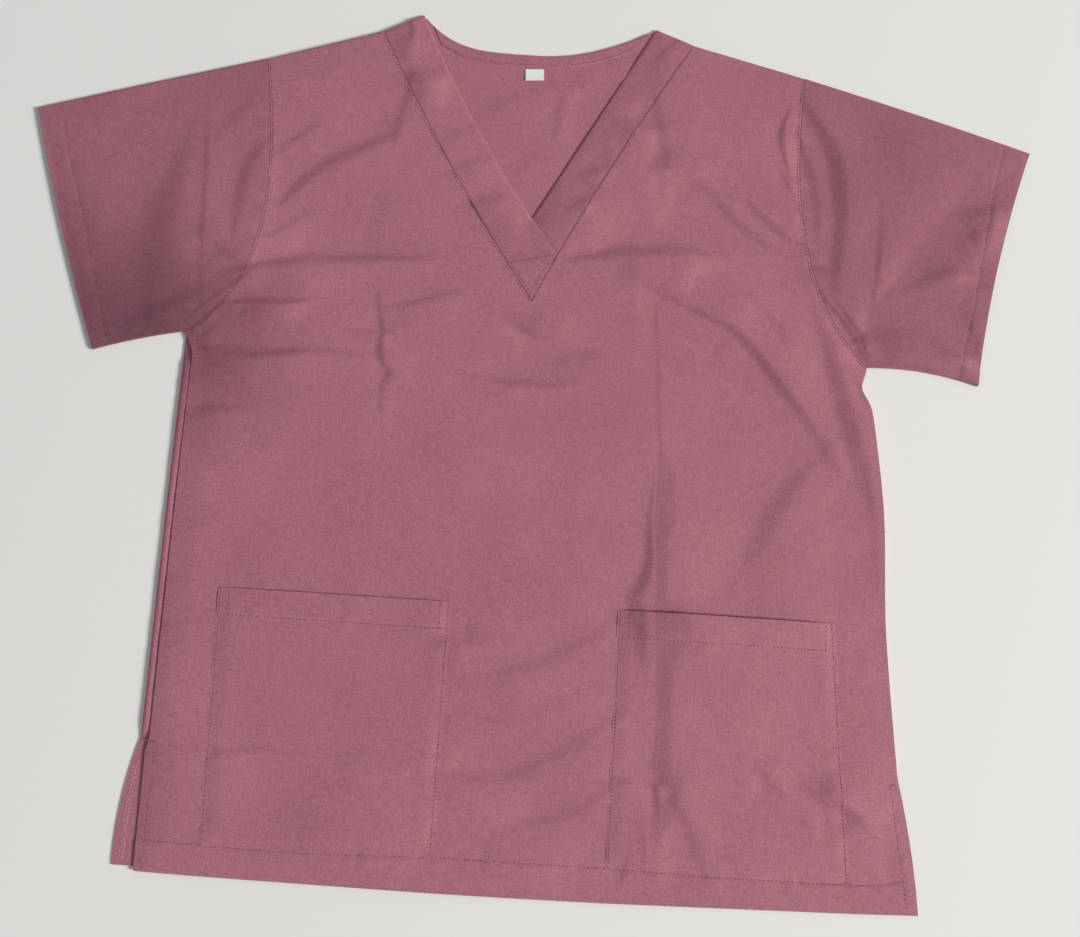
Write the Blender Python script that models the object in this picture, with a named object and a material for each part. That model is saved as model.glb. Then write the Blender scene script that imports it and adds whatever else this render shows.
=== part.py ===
"""A V-neck scrub top, laid flat on a surface with its front up.

The tables and functions work in millimetres, and each mesh is turned into metres as it is made.
+X runs across the top to the wearer's left, +Y runs up to the neck, and +Z is up. The origin is
on the surface, under the middle of the top. The back panel lies on the surface, and the front
panel lies on the back. Each sleeve is a flattened tube, and the pockets and the crossed neck
bands are laid on.
"""

import bpy
import numpy as np

MM = 0.001

# Cloth and layers
WALL = 1.2                  # thickness of a cloth wall
GAP = 0.3                   # air between two pieces that touch
LAYER = WALL + GAP          # height of one layer of cloth above the last
LOFT = 1.1                  # extra air under the front, away from its edges
LOFT_RIM = 30.0             # width over which the front settles down to its edges
CROWN = 2 * WALL + GAP      # height of two layers, at every folded edge

# Corners of the laid top, seen from above: (across, along)
CORNERS = {
    "right": {
        "toward": -1,
        "neck": (-94.2, 348.2), "seam_top": (-126.7, 331.9), "shoulder": (-219.3, 303.8),
        "cuff_top": (-402.0, 253.2), "cuff_bottom": (-338.3, 53.3), "underarm": (-266.1, 70.9),
        "slit": (-273.0, -243.0), "hem": (-269.7, -338.3), "flap": (-286.0, -334.5),
        "side": ((-269.6, -70.0),),
    },
    "left": {
        "toward": 1,
        "neck": (97.9, 343.2), "seam_top": (128.5, 330.3), "shoulder": (219.8, 305.2),
        "cuff_top": (402.4, 247.9), "cuff_bottom": (356.5, 52.1), "underarm": (269.5, 63.1),
        "slit": (291.2, -253.0), "hem": (305.1, -347.8), "flap": (302.6, -345.6),
        "side": ((281.4, -45.0), (283.2, -145.0)),
    },
}
HEM_MIDDLE_X = 12.0
HEM_BOW = 4.0               # how far the hem sags below its two corners

# The V of the neck: its bands cross at the crossing, the right one over the left
V_TIP = (3.8, 106.7)
CROSSING = (2.5, 176.5)
BAND_END = (22.9, 145.5)    # where the right band's inner edge meets the left seam
TUCK = 12.0                 # length of the left band that is hidden under the right one
BAND_CLEARANCE = 12.0       # reach of the right band's full lift past the hidden end
BAND_SETTLE = 15.0          # width over which the right band then comes down
BAND_SEAM_END = {"right": 1.0, "left": 0.815}   # how far down its seam each band reaches

# Curves of the pattern
SHOULDER_HANDLE = {"right": (17.0, 112.0), "left": (12.0, 112.0)}   # pull: inwards, down
UNDERARM_HANDLE = {"right": (58.0, 42.0), "left": (48.0, 47.0)}     # pull: inwards, up
NECK_DROP = 29.8                    # depth of the back neckline below the neck points
NECK_POWER = {"right": 4.0, "left": 2.0}    # how square each half of that neckline is
SEAM_BOW = {"right": 4.8, "left": 0.0}      # how far each V seam bows away from the V
INNER_BOW = {"right": 6.5, "left": 0.0}     # the same for the bands' inner edges
SLEEVE_TOP_BOW = {"right": 0.5, "left": 1.0}
UNDERARM_BOW = {"right": 1.5, "left": 4.0}
CUFF_BOW = {"right": 2.5, "left": -5.0}     # how far each cuff's edge bows outwards
SLIT_BOW = {"right": 0.0, "left": 2.0}
PUCKER = {"depth": 6.0, "below_underarm": 17.0, "reach": 10.0}  # nip in the left side edge

# Rolled edges
SEAM_STRIP = 6.5            # back cloth that shows along the right side seam
STRIP_STEP = 0.1            # run of the step at the strip's inner side
STRIP_CLEAR = 18.0          # length below the underarm in which the front makes room for it
STRIP_START = 9.0           # length over which the strip then rises, and ends at the slit
SLIT_LEAN = 1.1             # how far the slit's top stands in from the hem's corner
STRIP_ROUND = 1.2           # rounding of the strip's outer side
STRIP_SIDE_RISE = 0.5       # how much of the strip's rise its outermost edge has
ROLL = (0.0, 0.5, 2.2)      # insets of the front's rows as it rolls down over an edge
ROLL_OUTER = (0.0, 0.81, 1.0)       # height of the outer side at each inset, as a share
ROLL_INNER = (0.0, 0.87, 1.0)       # height of the inner side at each inset, as a share
ROLL_INSET = (1.2, 1.25, 2.3)       # inset of the inner side itself
SIDE_ROLL = {"clear": 2.0, "start": 12.0, "end": 14.0}  # where the left side's roll grows and dies
BACK_INSET = 2.5            # the back's inset under a rolled edge
BACK_INSET_START = 5.0      # how far above the left underarm that inset starts to grow
RIBBON = (0.0, 0.4, 1.35)   # insets of a sleeve's rows round its fold
RIBBON_RISE = (0.0, 0.72, 1.0)      # height off the fold's middle at each inset, as a share
RIBBON_INNER = (1.2, 1.26, 1.45)    # inset of the inner side round the fold
RIBBON_INNER_RISE = (0.0, 0.6, 1.0)

# Patch pockets, sewn on at the sides and into the hem
POCKETS = {
    "right": {"outer_top": (-223.7, -128.7), "inner_top": (-46.4, -132.9),
              "inner_bottom": (-50.8, -319.9), "outer_bottom": (-223.5, -318.1)},
    "left": {"outer_top": (243.6, -138.0), "inner_top": (79.7, -133.9),
             "inner_bottom": (75.6, -322.8), "outer_bottom": (255.4, -327.8)},
}
POCKET_HEM = 22.0           # depth of the turned hem at a pocket's mouth
POCKET_HEM_RISE = 0.5       # how much thicker that hem is
MOUTH_LIFT = {"right": 0.4, "left": 2.2}    # how far a pocket's mouth stands off the front
MOUTH_FADE = 60.0

# Back neck facing and size label
FACING_WIDTH = 10.0
FACING_REACH = (-85.5, 90.0)        # ends of its outer edge
FACING_INNER_REACH = (-77.8, 82.4)  # ends of its inner edge
LABEL_SIZE = (15.0, 10.0)
LABEL_WALL = 1.0
LABEL_CENTRE = (-0.9, 298.8)
LABEL_LEAN = 0.04           # slope of the label's top edge
LABEL_CURL = 0.5            # lift of its free edge

# Rows of the front, from the shoulder down, with the cells between each and the next. The
# armhole's rows are shared by the front, the back and the sleeve, so that their edges match.
STATIONS = ("shoulder", "tip", "underarm", "pocket", "slit", "stitch", "hem")
ROW_CELLS = (12, 4, 11, 6, 5, 2)
ARMHOLE_CELLS = ROW_CELLS[0] + ROW_CELLS[1]
TIP_SHARE = ROW_CELLS[0] / ARMHOLE_CELLS    # how far down the armhole the tip's row meets it
UNDERARM_SHARE = 0.16       # how far the underarm's row lies from the tip to the pocket's top
SLIT_SHARE = 0.60           # how far down the pocket's side the slit starts
HEM_DEPTH = 24.0            # from the hem's stitching to its edge
MIDDLE_LEVELS = (V_TIP[1], 68.0, -132.5, -244.5, -322.0)    # the rows' levels down the middle

# Columns of each half of the front: share of the way in from the edge to the V or middle
COLUMN_SHARES = {
    "right": {"outer": (0.20, 0.14), "inner": (0.72, 0.76)},    # at the shoulder, at the tip
    "left": {"outer": (0.20, 0.13), "inner": (0.70, 0.67)},
}
EDGE_CELLS = 3              # columns outside the pocket, past the rolled edge
POCKET_CELLS = 11
MIDDLE_CELLS = 4

# Largest folds of the front and the sleeves' upper sides. Each is a soft ridge between two
# points: its height, and its width on the left and on the right as it is walked along.
FOLDS = (
    # name, from, to, height, left width, right width
    ("pack crease, upper", (103, 200), (106, -25), 1.6, 22, 13),
    ("pack crease, lower", (106, -25), (109, -160), 2.6, 13, 20),
    ("pack crease, in pocket", (110, -160), (111, -325), 2.4, 12, 16),
    ("middle crease", (-111, 110), (-106, -130), 1.1, 14, 14),
    ("chest diagonal, upper", (81, 128), (169, 88), 3.2, 20, 12),
    ("chest diagonal, lower", (169, 88), (243, -6), 3.6, 22, 12),
    ("chest return", (243, -14), (176, -112), 2.4, 18, 20),
    ("left chest arc", (103, 210), (216, 160), 2.2, 18, 16),
    ("side trough bank", (248, 70), (275, -44), 2.8, 14, 12),
    ("right chest ridge", (-204, 172), (-108, 250), 2.6, 16, 14),
    ("right armhole nip", (-206, 222), (-168, 246), 1.6, 10, 10),
    ("right chest level", (-222, 122), (-86, 137), 1.8, 14, 14),
    ("right side level", (-258, 62), (-120, 61), 2.0, 12, 10),
    ("neck level, left", (30, 141), (138, 148), 2.0, 14, 14),
    ("below the tip", (-41, 51), (42, 45), 1.2, 12, 12),
    ("left sleeve bank", (226, 285), (246, 110), 3.6, 18, 13),
    ("left sleeve diagonal", (357, 210), (284, 112), 3.2, 16, 18),
    ("left sleeve crease", (283, 205), (277, 108), 1.6, 10, 10),
    ("right sleeve crease", (-264, 262), (-252, 88), 2.0, 12, 16),
    ("right sleeve ridge", (-229, 266), (-245, 128), 2.4, 14, 14),
    ("between pockets, high", (67, -160), (-24, -208), 1.6, 14, 14),
    ("between pockets, low", (69, -233), (-20, -274), 1.4, 14, 14),
    ("pocket level", (-262, -252), (60, -243), 0.9, 10, 10),
)
FOLD_FADE = 26.0            # how soon a fold dies away past its ends

# Cells of the back, the sleeves, the bands and the facing
STRIP_ROWS = (18.0, 21.0, 24.0, 27.0, 305.0, 310.0)  # the back's added rows, down from the underarm
BACK_CELLS = 10
FLAP_CELLS = 4
FLAP_BOW = {"right": -3.5, "left": 1.5}
BACK_COLUMNS = (5, 17, 5)

SLEEVE_ROWS = 12
BAND_CELLS = 4
BAND_ROWS = 18
FACING_CELLS = 20

CLOTH = (0.376, 0.150, 0.198, 1.0)
LABEL_CLOTH = (0.86, 0.86, 0.84, 1.0)


def mix(start, end, share):
    """The point or points that lie a share of the way from start to end."""
    share = np.asarray(share, float)[..., None]
    return np.asarray(start, float) * (1 - share) + np.asarray(end, float) * share


def bow(start, end, rise, share):
    """Points on a shallow arc from start to end that stands rise off its chord, to the left."""
    chord = np.subtract(end, start)
    sideways = np.array([-chord[1], chord[0]]) / np.hypot(*chord)
    hump = 4 * rise * np.asarray(share) * (1 - np.asarray(share))
    return mix(start, end, share) + hump[..., None] * sideways


def through(knots, share):
    """Points on a smooth curve that passes through a few knots, read by length along it."""
    knots = np.array(knots, float)
    ends = np.vstack([2 * knots[0] - knots[1], knots, 2 * knots[-1] - knots[-2]])
    t = np.linspace(0, 1, 24, endpoint=False)[:, None]
    runs = []
    for a, b, c, d in zip(ends[:-3], ends[1:-2], ends[2:-1], ends[3:]):
        runs.append(b + t * (c - a) / 2 + t ** 2 * (a - 2.5 * b + 2 * c - d / 2)
                    + t ** 3 * (1.5 * (b - c) + (d - a) / 2))
    points = np.vstack(runs + [knots[-1:]])
    length = np.concatenate([[0], np.cumsum(np.hypot(*np.diff(points, axis=0).T))])
    return np.column_stack([np.interp(share, length / length[-1], points[:, axis])
                            for axis in (0, 1)])


def smooth(value):
    """A soft step from 0 to 1."""
    value = np.clip(value, 0, 1)
    return value * value * (3 - 2 * value)


def offset(points, distance):
    """The same run of points, moved to its left by a distance."""
    along = np.gradient(points, axis=0)
    along /= np.hypot(along[:, 0], along[:, 1])[:, None]
    return points + distance * np.column_stack([-along[:, 1], along[:, 0]])


def armhole(side, share):
    """The armhole seam, a cubic curve from the shoulder down to the underarm."""
    corner = CORNERS[side]
    toward = corner["toward"]
    inward, down = SHOULDER_HANDLE[side]
    first = np.add(corner["shoulder"], (-toward * inward, -down))
    inward, up = UNDERARM_HANDLE[side]
    second = np.add(corner["underarm"], (-toward * inward, up))
    t = np.asarray(share, float)[..., None]
    return ((1 - t) ** 3 * np.array(corner["shoulder"]) + 3 * (1 - t) ** 2 * t * first
            + 3 * (1 - t) * t ** 2 * second + t ** 3 * np.array(corner["underarm"]))


def v_seam(side, share):
    """The seam between the front panel and a neck band, from the shoulder to the V's tip."""
    return bow(CORNERS[side]["seam_top"], V_TIP, CORNERS[side]["toward"] * SEAM_BOW[side], share)


def band_edge(side, share):
    """A band's inner edge, from the neck point to the crossing or past it."""
    if side == "right":
        return bow(CORNERS[side]["neck"], BAND_END, -INNER_BOW[side], share)
    return bow(CORNERS[side]["neck"], CROSSING, INNER_BOW[side], share)


def side_edge(side, share):
    """The side of the top from the underarm to the slit, with the nip under the left arm."""
    corner = CORNERS[side]
    points = through([corner["underarm"], *corner["side"], corner["slit"]], share)
    if side == "left":
        below = corner["underarm"][1] - points[:, 1]
        nip = np.exp(-((below - PUCKER["below_underarm"]) / PUCKER["reach"]) ** 2)
        points[:, 0] -= PUCKER["depth"] * nip
    return points


def back_neckline(x):
    """How far up the back neckline lies at each place across."""
    right, left = CORNERS["right"]["neck"], CORNERS["left"]["neck"]
    middle = (right[0] + left[0]) / 2
    reach = (left[0] - right[0]) / 2
    chord = np.interp(x, (right[0], left[0]), (right[1], left[1]))
    share = np.abs(x - middle) / reach
    power = np.where(x < middle, NECK_POWER["right"], NECK_POWER["left"])
    return chord - NECK_DROP * (1 - np.clip(share, 0, 1) ** power)


def segment_distance(x, y, start, end):
    """Distance from each point to a straight segment."""
    run = np.subtract(end, start)
    share = ((x - start[0]) * run[0] + (y - start[1]) * run[1]) / (run @ run)
    share = np.clip(share, 0, 1)
    return np.hypot(x - start[0] - share * run[0], y - start[1] - share * run[1])


def upper_outline():
    """The outline of the upper layer, round both sleeves and down into the V."""
    share = np.linspace(0, 1, 9)
    half = {}
    for side, corner in CORNERS.items():
        half[side] = np.vstack([
            [corner["neck"], corner["shoulder"], corner["cuff_top"], corner["cuff_bottom"]],
            side_edge(side, share),
            [corner["hem"]],
        ])
    notch = [CROSSING]
    return np.vstack([half["right"], half["left"][::-1], notch, half["right"][:1]])


OUTLINE = upper_outline()


def loft(x, y):
    """Height of the upper layer's underside over the back panel's upper face, less one gap.

    It is the resting air and the folds, settled to nothing at the outline.
    """
    edge = np.full(np.shape(x), np.inf)
    for start, end in zip(OUTLINE[:-1], OUTLINE[1:]):
        edge = np.minimum(edge, segment_distance(x, y, start, end))
    height = np.full(np.shape(x), LOFT)
    for name, start, end, rise, left_width, right_width in FOLDS:
        run = np.subtract(end, start, dtype=float)
        length = np.hypot(*run)
        forward = ((x - start[0]) * run[0] + (y - start[1]) * run[1]) / length
        across = ((y - start[1]) * run[0] - (x - start[0]) * run[1]) / length
        past = np.maximum(np.maximum(-forward, forward - length), 0)
        width = np.where(across > 0, left_width, right_width)
        height = height + rise * np.exp(-(across / width) ** 2 - (past / FOLD_FADE) ** 2)
    return height * smooth(edge / LOFT_RIM)


def underside(x, y):
    """Height of the upper layer's lower face."""
    return LAYER + loft(x, y)


def grid_quads(rows, columns, first=0):
    """Corner numbers of the cells of a grid whose points are numbered row by row."""
    row, column = np.meshgrid(np.arange(rows - 1), np.arange(columns - 1), indexing="ij")
    corner = (first + row * columns + column).ravel()
    return np.column_stack([corner, corner + 1, corner + columns + 1, corner + columns])


def wall_object(name, outer, inner, quads, color=CLOTH, roughness=0.62):
    """A closed wall between an outer and an inner skin that share one set of cells."""
    outer = np.asarray(outer, float).reshape(-1, 3)
    inner = np.asarray(inner, float).reshape(-1, 3)
    used, quads = np.unique(quads, return_inverse=True)
    quads = quads.reshape(-1, 4)
    outer, inner = outer[used], inner[used]
    upper = np.vstack([quads[:, [0, 1, 2]], quads[:, [0, 2, 3]]])
    lower = upper[:, ::-1] + len(outer)
    edges = np.vstack([upper[:, [0, 1]], upper[:, [1, 2]], upper[:, [2, 0]]])
    known = {(a, b) for a, b in edges.tolist()}
    rim = np.array([(a, b) for a, b in edges.tolist() if (b, a) not in known])
    start, end = rim[:, 0], rim[:, 1]
    skirt = np.vstack([
        np.column_stack([end, start, start + len(outer)]),
        np.column_stack([end, start + len(outer), end + len(outer)]),
    ])
    points = np.vstack([outer, inner]) * MM
    faces = np.vstack([upper, lower, skirt])
    a, b, c = (points[faces[:, corner]] for corner in range(3))
    if np.einsum("ij,ij->i", a, np.cross(b, c)).sum() < 0:
        faces = faces[:, ::-1]
    mesh = bpy.data.meshes.new(name)
    mesh.from_pydata(points.tolist(), [], faces.tolist())
    mesh.shade_smooth()
    mesh.set_sharp_from_angle(angle=0.9)
    mesh.materials.append(cloth_material(name, color, roughness))
    thing = bpy.data.objects.new(name, mesh)
    bpy.context.scene.collection.objects.link(thing)
    return thing


def cloth_material(name, color, roughness):
    """A woven cloth finish for one piece."""
    material = bpy.data.materials.new(name + "_cloth")
    material.use_nodes = True
    shader = material.node_tree.nodes["Principled BSDF"]
    shader.inputs["Base Color"].default_value = color
    shader.inputs["Roughness"].default_value = roughness
    shader.inputs["Metallic"].default_value = 0.0
    return material


def row_places():
    """Where the front's rows lie, counted in stations, with the roll's rows at the shoulder."""
    roll = np.array(ROLL) / (3 * np.hypot(*SHOULDER_HANDLE["right"])) / TIP_SHARE
    whole = [np.linspace(station, station + 1, cells, endpoint=False)
             for station, cells in enumerate(ROW_CELLS)]
    whole = np.concatenate(whole + [[len(ROW_CELLS)]])
    return np.concatenate([roll, whole[1:]])


def follow(points, levels, places):
    """Read a line of points at the rows, where each station's level along is given."""
    y = np.interp(places, np.arange(len(levels)), levels)
    x = np.interp(-y, -points[:, 1], points[:, 0])
    return np.column_stack([x, y])


def front_edge(side, places):
    """The front's outer edge, read at the rows: down the armhole, the side and the slit."""
    corner, patch = CORNERS[side], POCKETS[side]
    share = np.linspace(0, 1, 60)
    below = side_edge(side, share)
    if side == "right":
        strip = SEAM_STRIP + STRIP_STEP + GAP
        below[:, 0] += strip * smooth((corner["underarm"][1] - below[:, 1]) / STRIP_CLEAR)
        below_slit = (corner["hem"][0] + SLIT_LEAN, corner["slit"][1] - STRIP_START)
        below = np.vstack([below, [below_slit]])
    slit = bow(below[-1], corner["hem"], corner["toward"] * SLIT_BOW[side], share)
    below = np.vstack([below, slit[1:]])
    slit_level = mix(patch["outer_top"], patch["outer_bottom"], SLIT_SHARE)[1]
    levels = (corner["underarm"][1], patch["outer_top"][1], slit_level,
              patch["outer_bottom"][1], corner["hem"][1])
    sewn = places <= 2
    seam = armhole(side, np.interp(places[sewn], (0, 1, 2), (0, TIP_SHARE, 1)))
    return np.vstack([seam, follow(below, levels, places[~sewn] - 2)])


def front_guides(side, places):
    """The four lines that the front's columns run between, read at each row.

    They are the outer edge, the pocket's outer and inner sides, and the V seam with the middle.
    """
    corner, patch = CORNERS[side], POCKETS[side]
    edge = front_edge(side, places)
    tip_row = edge[station_row("tip")]
    hem_middle = (HEM_MIDDLE_X, hem_level(HEM_MIDDLE_X))
    middle_points = np.vstack([v_seam(side, np.linspace(0, 1, 60)), [hem_middle]])
    levels = (corner["seam_top"][1], *MIDDLE_LEVELS, hem_middle[1])
    middle = follow(middle_points, levels, places)
    lines = []
    for which in ("outer", "inner"):
        at_shoulder, at_tip = COLUMN_SHARES[side][which]
        top, bottom = patch[which + "_top"], patch[which + "_bottom"]
        below_tip = mix(tip_row, V_TIP, at_tip)
        hem = mix(top, bottom, 1 + HEM_DEPTH / (top[1] - bottom[1]))
        hem[1] = hem_level(hem[0])
        stations = np.array([
            mix(corner["shoulder"], corner["seam_top"], at_shoulder),
            below_tip,
            mix(below_tip, top, UNDERARM_SHARE),
            top,
            mix(top, bottom, SLIT_SHARE),
            bottom,
            hem,
        ])
        numbers = np.arange(len(stations))
        lines.append(np.column_stack([np.interp(places, numbers, stations[:, axis])
                                      for axis in (0, 1)]))
    return edge, lines[0], lines[1], middle


def hem_level(x):
    """How far along the hem's edge lies at each place across."""
    right, left = CORNERS["right"]["hem"], CORNERS["left"]["hem"]
    share = (x - right[0]) / (left[0] - right[0])
    return right[1] + share * (left[1] - right[1]) - 4 * HEM_BOW * share * (1 - share)


def column_share(side, widths):
    """Where the columns between the edge and the pocket's outer side lie, row by row."""
    rolled = np.array(ROLL)[None, :] / widths[:, None]
    rest = np.linspace(0, 1, EDGE_CELLS + 1)[1:]
    return np.hstack([rolled, rolled[:, 2:] + (1 - rolled[:, 2:]) * rest])


def front_half(side):
    """Plan places of one half of the front, row by row from its outer edge to the middle."""
    places = row_places()
    edge, outer, inner, middle = front_guides(side, places)
    widths = np.hypot(*(outer - edge).T)
    share = column_share(side, widths)
    strips = [edge[:, None] + (outer - edge)[:, None] * share[..., None]]
    cells = np.linspace(0, 1, POCKET_CELLS + 1)[1:, None, None]
    strips.append((outer + (inner - outer) * cells).transpose(1, 0, 2))
    cells = np.linspace(0, 1, MIDDLE_CELLS + 1)[1:, None, None]
    strips.append((inner + (middle - inner) * cells).transpose(1, 0, 2))
    return np.concatenate(strips, axis=1)


def station_row(name):
    """The number of the row that lies on a station."""
    number = STATIONS.index(name)
    return sum(ROW_CELLS[:number]) + (len(ROLL) - 1 if number else 0)


def edge_roll(side, plan):
    """How far each row's outer edge is rolled down: 1 along the left side seam, else 0."""
    if side == "right":
        return np.zeros(len(plan))
    y = plan[:, 0, 1]
    corner = CORNERS[side]
    start = (corner["underarm"][1] - SIDE_ROLL["clear"] - y) / SIDE_ROLL["start"]
    return smooth(start) * smooth((y - corner["slit"][1]) / SIDE_ROLL["end"])


def rolled_skins(plan, roll_down, roll_side):
    """Outer and inner skins of an upper piece, rolled down at its first row and first column.

    A rolled edge bends in a quarter round from the upper face down to the surface below it.
    """
    top = underside(plan[..., 0], plan[..., 1]) + WALL
    low = top - WALL
    inner_plan = plan.copy()
    outer_share = np.ones(top.shape)
    inner_share = np.ones(top.shape)
    past = len(ROLL)
    down = (plan[past] - plan[0]) / np.hypot(*(plan[past] - plan[0]).T)[:, None]
    across = plan[:, past] - plan[:, 0]
    across /= np.hypot(*across.T)[:, None]
    for step, inset in enumerate(ROLL):
        inner_plan[step] += down * (ROLL_INSET[step] - inset) * roll_down
        outer_share[step] *= 1 - roll_down * (1 - ROLL_OUTER[step])
        inner_share[step] *= 1 - roll_down * (1 - ROLL_INNER[step])
        inner_plan[:, step] += across * ((ROLL_INSET[step] - inset) * roll_side)[:, None]
        outer_share[:, step] *= 1 - roll_side * (1 - ROLL_OUTER[step])
        inner_share[:, step] *= 1 - roll_side * (1 - ROLL_INNER[step])
    outer = np.dstack([plan, top * outer_share])
    inner = np.dstack([inner_plan, low * inner_share])
    return outer, inner


def front_panel():
    """The front: two halves, joined down the middle below the V's tip."""
    outer, inner, quads, first = [], [], [], 0
    tip = station_row("tip")
    halves = []
    for side in ("right", "left"):
        plan = front_half(side)
        skins = rolled_skins(plan, 1.0, edge_roll(side, plan))
        halves.append(plan)
        outer.append(skins[0].reshape(-1, 3))
        inner.append(skins[1].reshape(-1, 3))
        cells = grid_quads(*plan.shape[:2], first)
        quads.append(cells if side == "right" else cells[:, ::-1])
        first += plan.shape[0] * plan.shape[1]
    rows, columns = halves[0].shape[:2]
    number = np.arange(first)
    shared = np.arange(tip, rows) * columns + columns - 1
    number[shared + rows * columns] = shared
    quads = number[np.vstack(quads)]
    wall_object("front_panel", np.vstack(outer), np.vstack(inner), quads)
    return dict(zip(("right", "left"), halves))


def pocket(side, plan):
    """A patch pocket on the front's own places, moved out by one layer."""
    first = len(ROLL) + EDGE_CELLS - 1
    top, bottom = station_row("pocket"), station_row("stitch")
    patch = plan[top:bottom + 1, first:first + POCKET_CELLS + 1]
    low = underside(patch[..., 0], patch[..., 1]) + LAYER
    down = patch[0, :, 1] - patch[..., 1]
    across = np.sin(np.pi * np.linspace(0, 1, patch.shape[1]))
    low = low + MOUTH_LIFT[side] * across * (1 - smooth(down / MOUTH_FADE))
    rise = POCKET_HEM_RISE * (down < POCKET_HEM)
    cells = grid_quads(*patch.shape[:2])
    wall_object("pocket_" + side, np.dstack([patch, low + WALL + rise]), np.dstack([patch, low]), cells)


def band_lift(x, y):
    """Lift of the right band where it passes over the left band's hidden end."""
    run = np.subtract(CROSSING, CORNERS["left"]["neck"])
    hidden = np.add(CROSSING, run / np.hypot(*run) * TUCK)
    near = np.minimum(segment_distance(x, y, CROSSING, hidden),
                      segment_distance(x, y, hidden, BAND_END))
    return LAYER * (1 - smooth((near - BAND_CLEARANCE) / BAND_SETTLE))


def neck_band(side):
    """A neck band, from its shoulder end down its side of the V."""
    corner = CORNERS[side]
    length = np.hypot(*np.subtract(V_TIP, corner["seam_top"]))
    rows = np.concatenate([np.array(ROLL[:2]) / length,
                           np.linspace(ROLL[2] / length, 1, BAND_ROWS)])
    seam = offset(v_seam(side, np.linspace(0, 1, 200)), GAP * -corner["toward"])
    seam[-1] = (V_TIP[0], V_TIP[1] + 2 * GAP)
    at = np.linspace(0, 1, 200)
    outer_line = np.column_stack([np.interp(rows * BAND_SEAM_END[side], at, seam[:, axis])
                                  for axis in (0, 1)])
    inner_line = band_edge(side, rows)
    if side == "left":
        run = np.subtract(CROSSING, corner["neck"])
        past = 1 + TUCK / np.hypot(*run)
        inner_line = band_edge(side, rows * past)
    else:
        lean = np.subtract(V_TIP, BAND_END) / np.hypot(*np.subtract(V_TIP, BAND_END))
        inner_line[-1] += np.array([lean[1], -lean[0]]) * GAP
    across = np.linspace(0, 1, BAND_CELLS + 1)[:, None, None]
    plan = (outer_line + (inner_line - outer_line) * across).transpose(1, 0, 2)
    top_skin, low_skin = rolled_skins(plan, 1.0, np.zeros(len(plan)))
    if side == "right":
        lift = band_lift(plan[..., 0], plan[..., 1])
        top_skin[..., 2] += lift
        low_skin[..., 2] += lift
    wall_object("neck_band_" + side, top_skin, low_skin, grid_quads(*plan.shape[:2]))


def back_places():
    """Where the back's rows lie: 0 at the shoulder, 1 underarm, 2 slit, 3 hem."""
    below = [1 + np.array(STRIP_ROWS) / (CORNERS["right"]["underarm"][1] - CORNERS["right"]["slit"][1])]
    below += [np.linspace(1, 2, BACK_CELLS + 1)[1:], np.linspace(2, 3, FLAP_CELLS + 1)[1:]]
    return np.concatenate([np.linspace(0, 1, ARMHOLE_CELLS + 1), np.sort(np.concatenate(below))])


def back_edge(side, places):
    """The back's outer edge on one side, read at its rows."""
    corner = CORNERS[side]
    below = side_edge(side, np.linspace(0, 1, 60))
    flap = bow(corner["slit"], corner["flap"], FLAP_BOW[side], np.linspace(0, 1, 8)[1:])
    below = np.vstack([below, flap])
    levels = (corner["underarm"][1], corner["slit"][1], corner["flap"][1])
    sewn = places <= 1
    inset = BACK_INSET / (3 * np.hypot(*SHOULDER_HANDLE[side]))
    seam = armhole(side, np.maximum(places[sewn], inset))
    return np.vstack([seam, follow(below, levels, places[~sewn] - 1)])


def back_top(x):
    """The back's top edge: under the rolled shoulders, and round the neckline."""
    corners = [CORNERS["right"][name] for name in ("shoulder", "seam_top", "neck")]
    corners += [CORNERS["left"][name] for name in ("neck", "seam_top", "shoulder")]
    corners = np.array(corners)
    shoulder = np.interp(x, corners[:, 0], corners[:, 1]) - BACK_INSET
    inside = (x > corners[2, 0]) & (x < corners[3, 0])
    return np.where(inside, np.minimum(back_neckline(x), shoulder), shoulder)


def back_panel():
    """The back, flat on the surface, with the right side seam's roll along its edge."""
    places = back_places()
    right_line, left_line = back_edge("right", places), back_edge("left", places)
    above = CORNERS["left"]["underarm"][1] + BACK_INSET_START - left_line[:, 1]
    under_roll = smooth(above / BACK_INSET_START)
    left_line[:, 0] -= BACK_INSET * under_roll
    widths = left_line[:, 0] - right_line[:, 0]
    strip = np.array([STRIP_ROUND, SEAM_STRIP, SEAM_STRIP + STRIP_STEP])
    neck = [(CORNERS[side]["neck"][0] - right_line[0, 0]) / widths[0] for side in ("right", "left")]
    share = np.concatenate([np.linspace(0, neck[0], BACK_COLUMNS[0])[1:-1],
                            np.linspace(neck[0], neck[1], BACK_COLUMNS[1])[:-1],
                            np.linspace(neck[1], 1, BACK_COLUMNS[2])])
    share = np.hstack([np.zeros((len(places), 1)), strip[None, :] / widths[:, None],
                       np.tile(share, (len(places), 1))])
    plan = right_line[:, None] + (left_line - right_line)[:, None] * share[..., None]
    drop = back_top(plan[0, :, 0]) - plan[0, :, 1]
    drop[0], drop[-1] = 0, 0
    plan[..., 1] += (1 - smooth(places))[:, None] * drop
    y = right_line[:, 1]
    corner = CORNERS["right"]
    roll = (smooth((corner["underarm"][1] - STRIP_CLEAR - y) / STRIP_START)
            * smooth((y - corner["slit"][1]) / STRIP_START))
    top = np.full(plan.shape[:2], WALL)
    top[:, 0] += roll * STRIP_SIDE_RISE
    top[:, 1:3] += roll[:, None] * LAYER
    wall_object("back_panel", np.dstack([plan, top]), np.dstack([plan, np.zeros(top.shape)]),
                grid_quads(*plan.shape[:2]))


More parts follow.
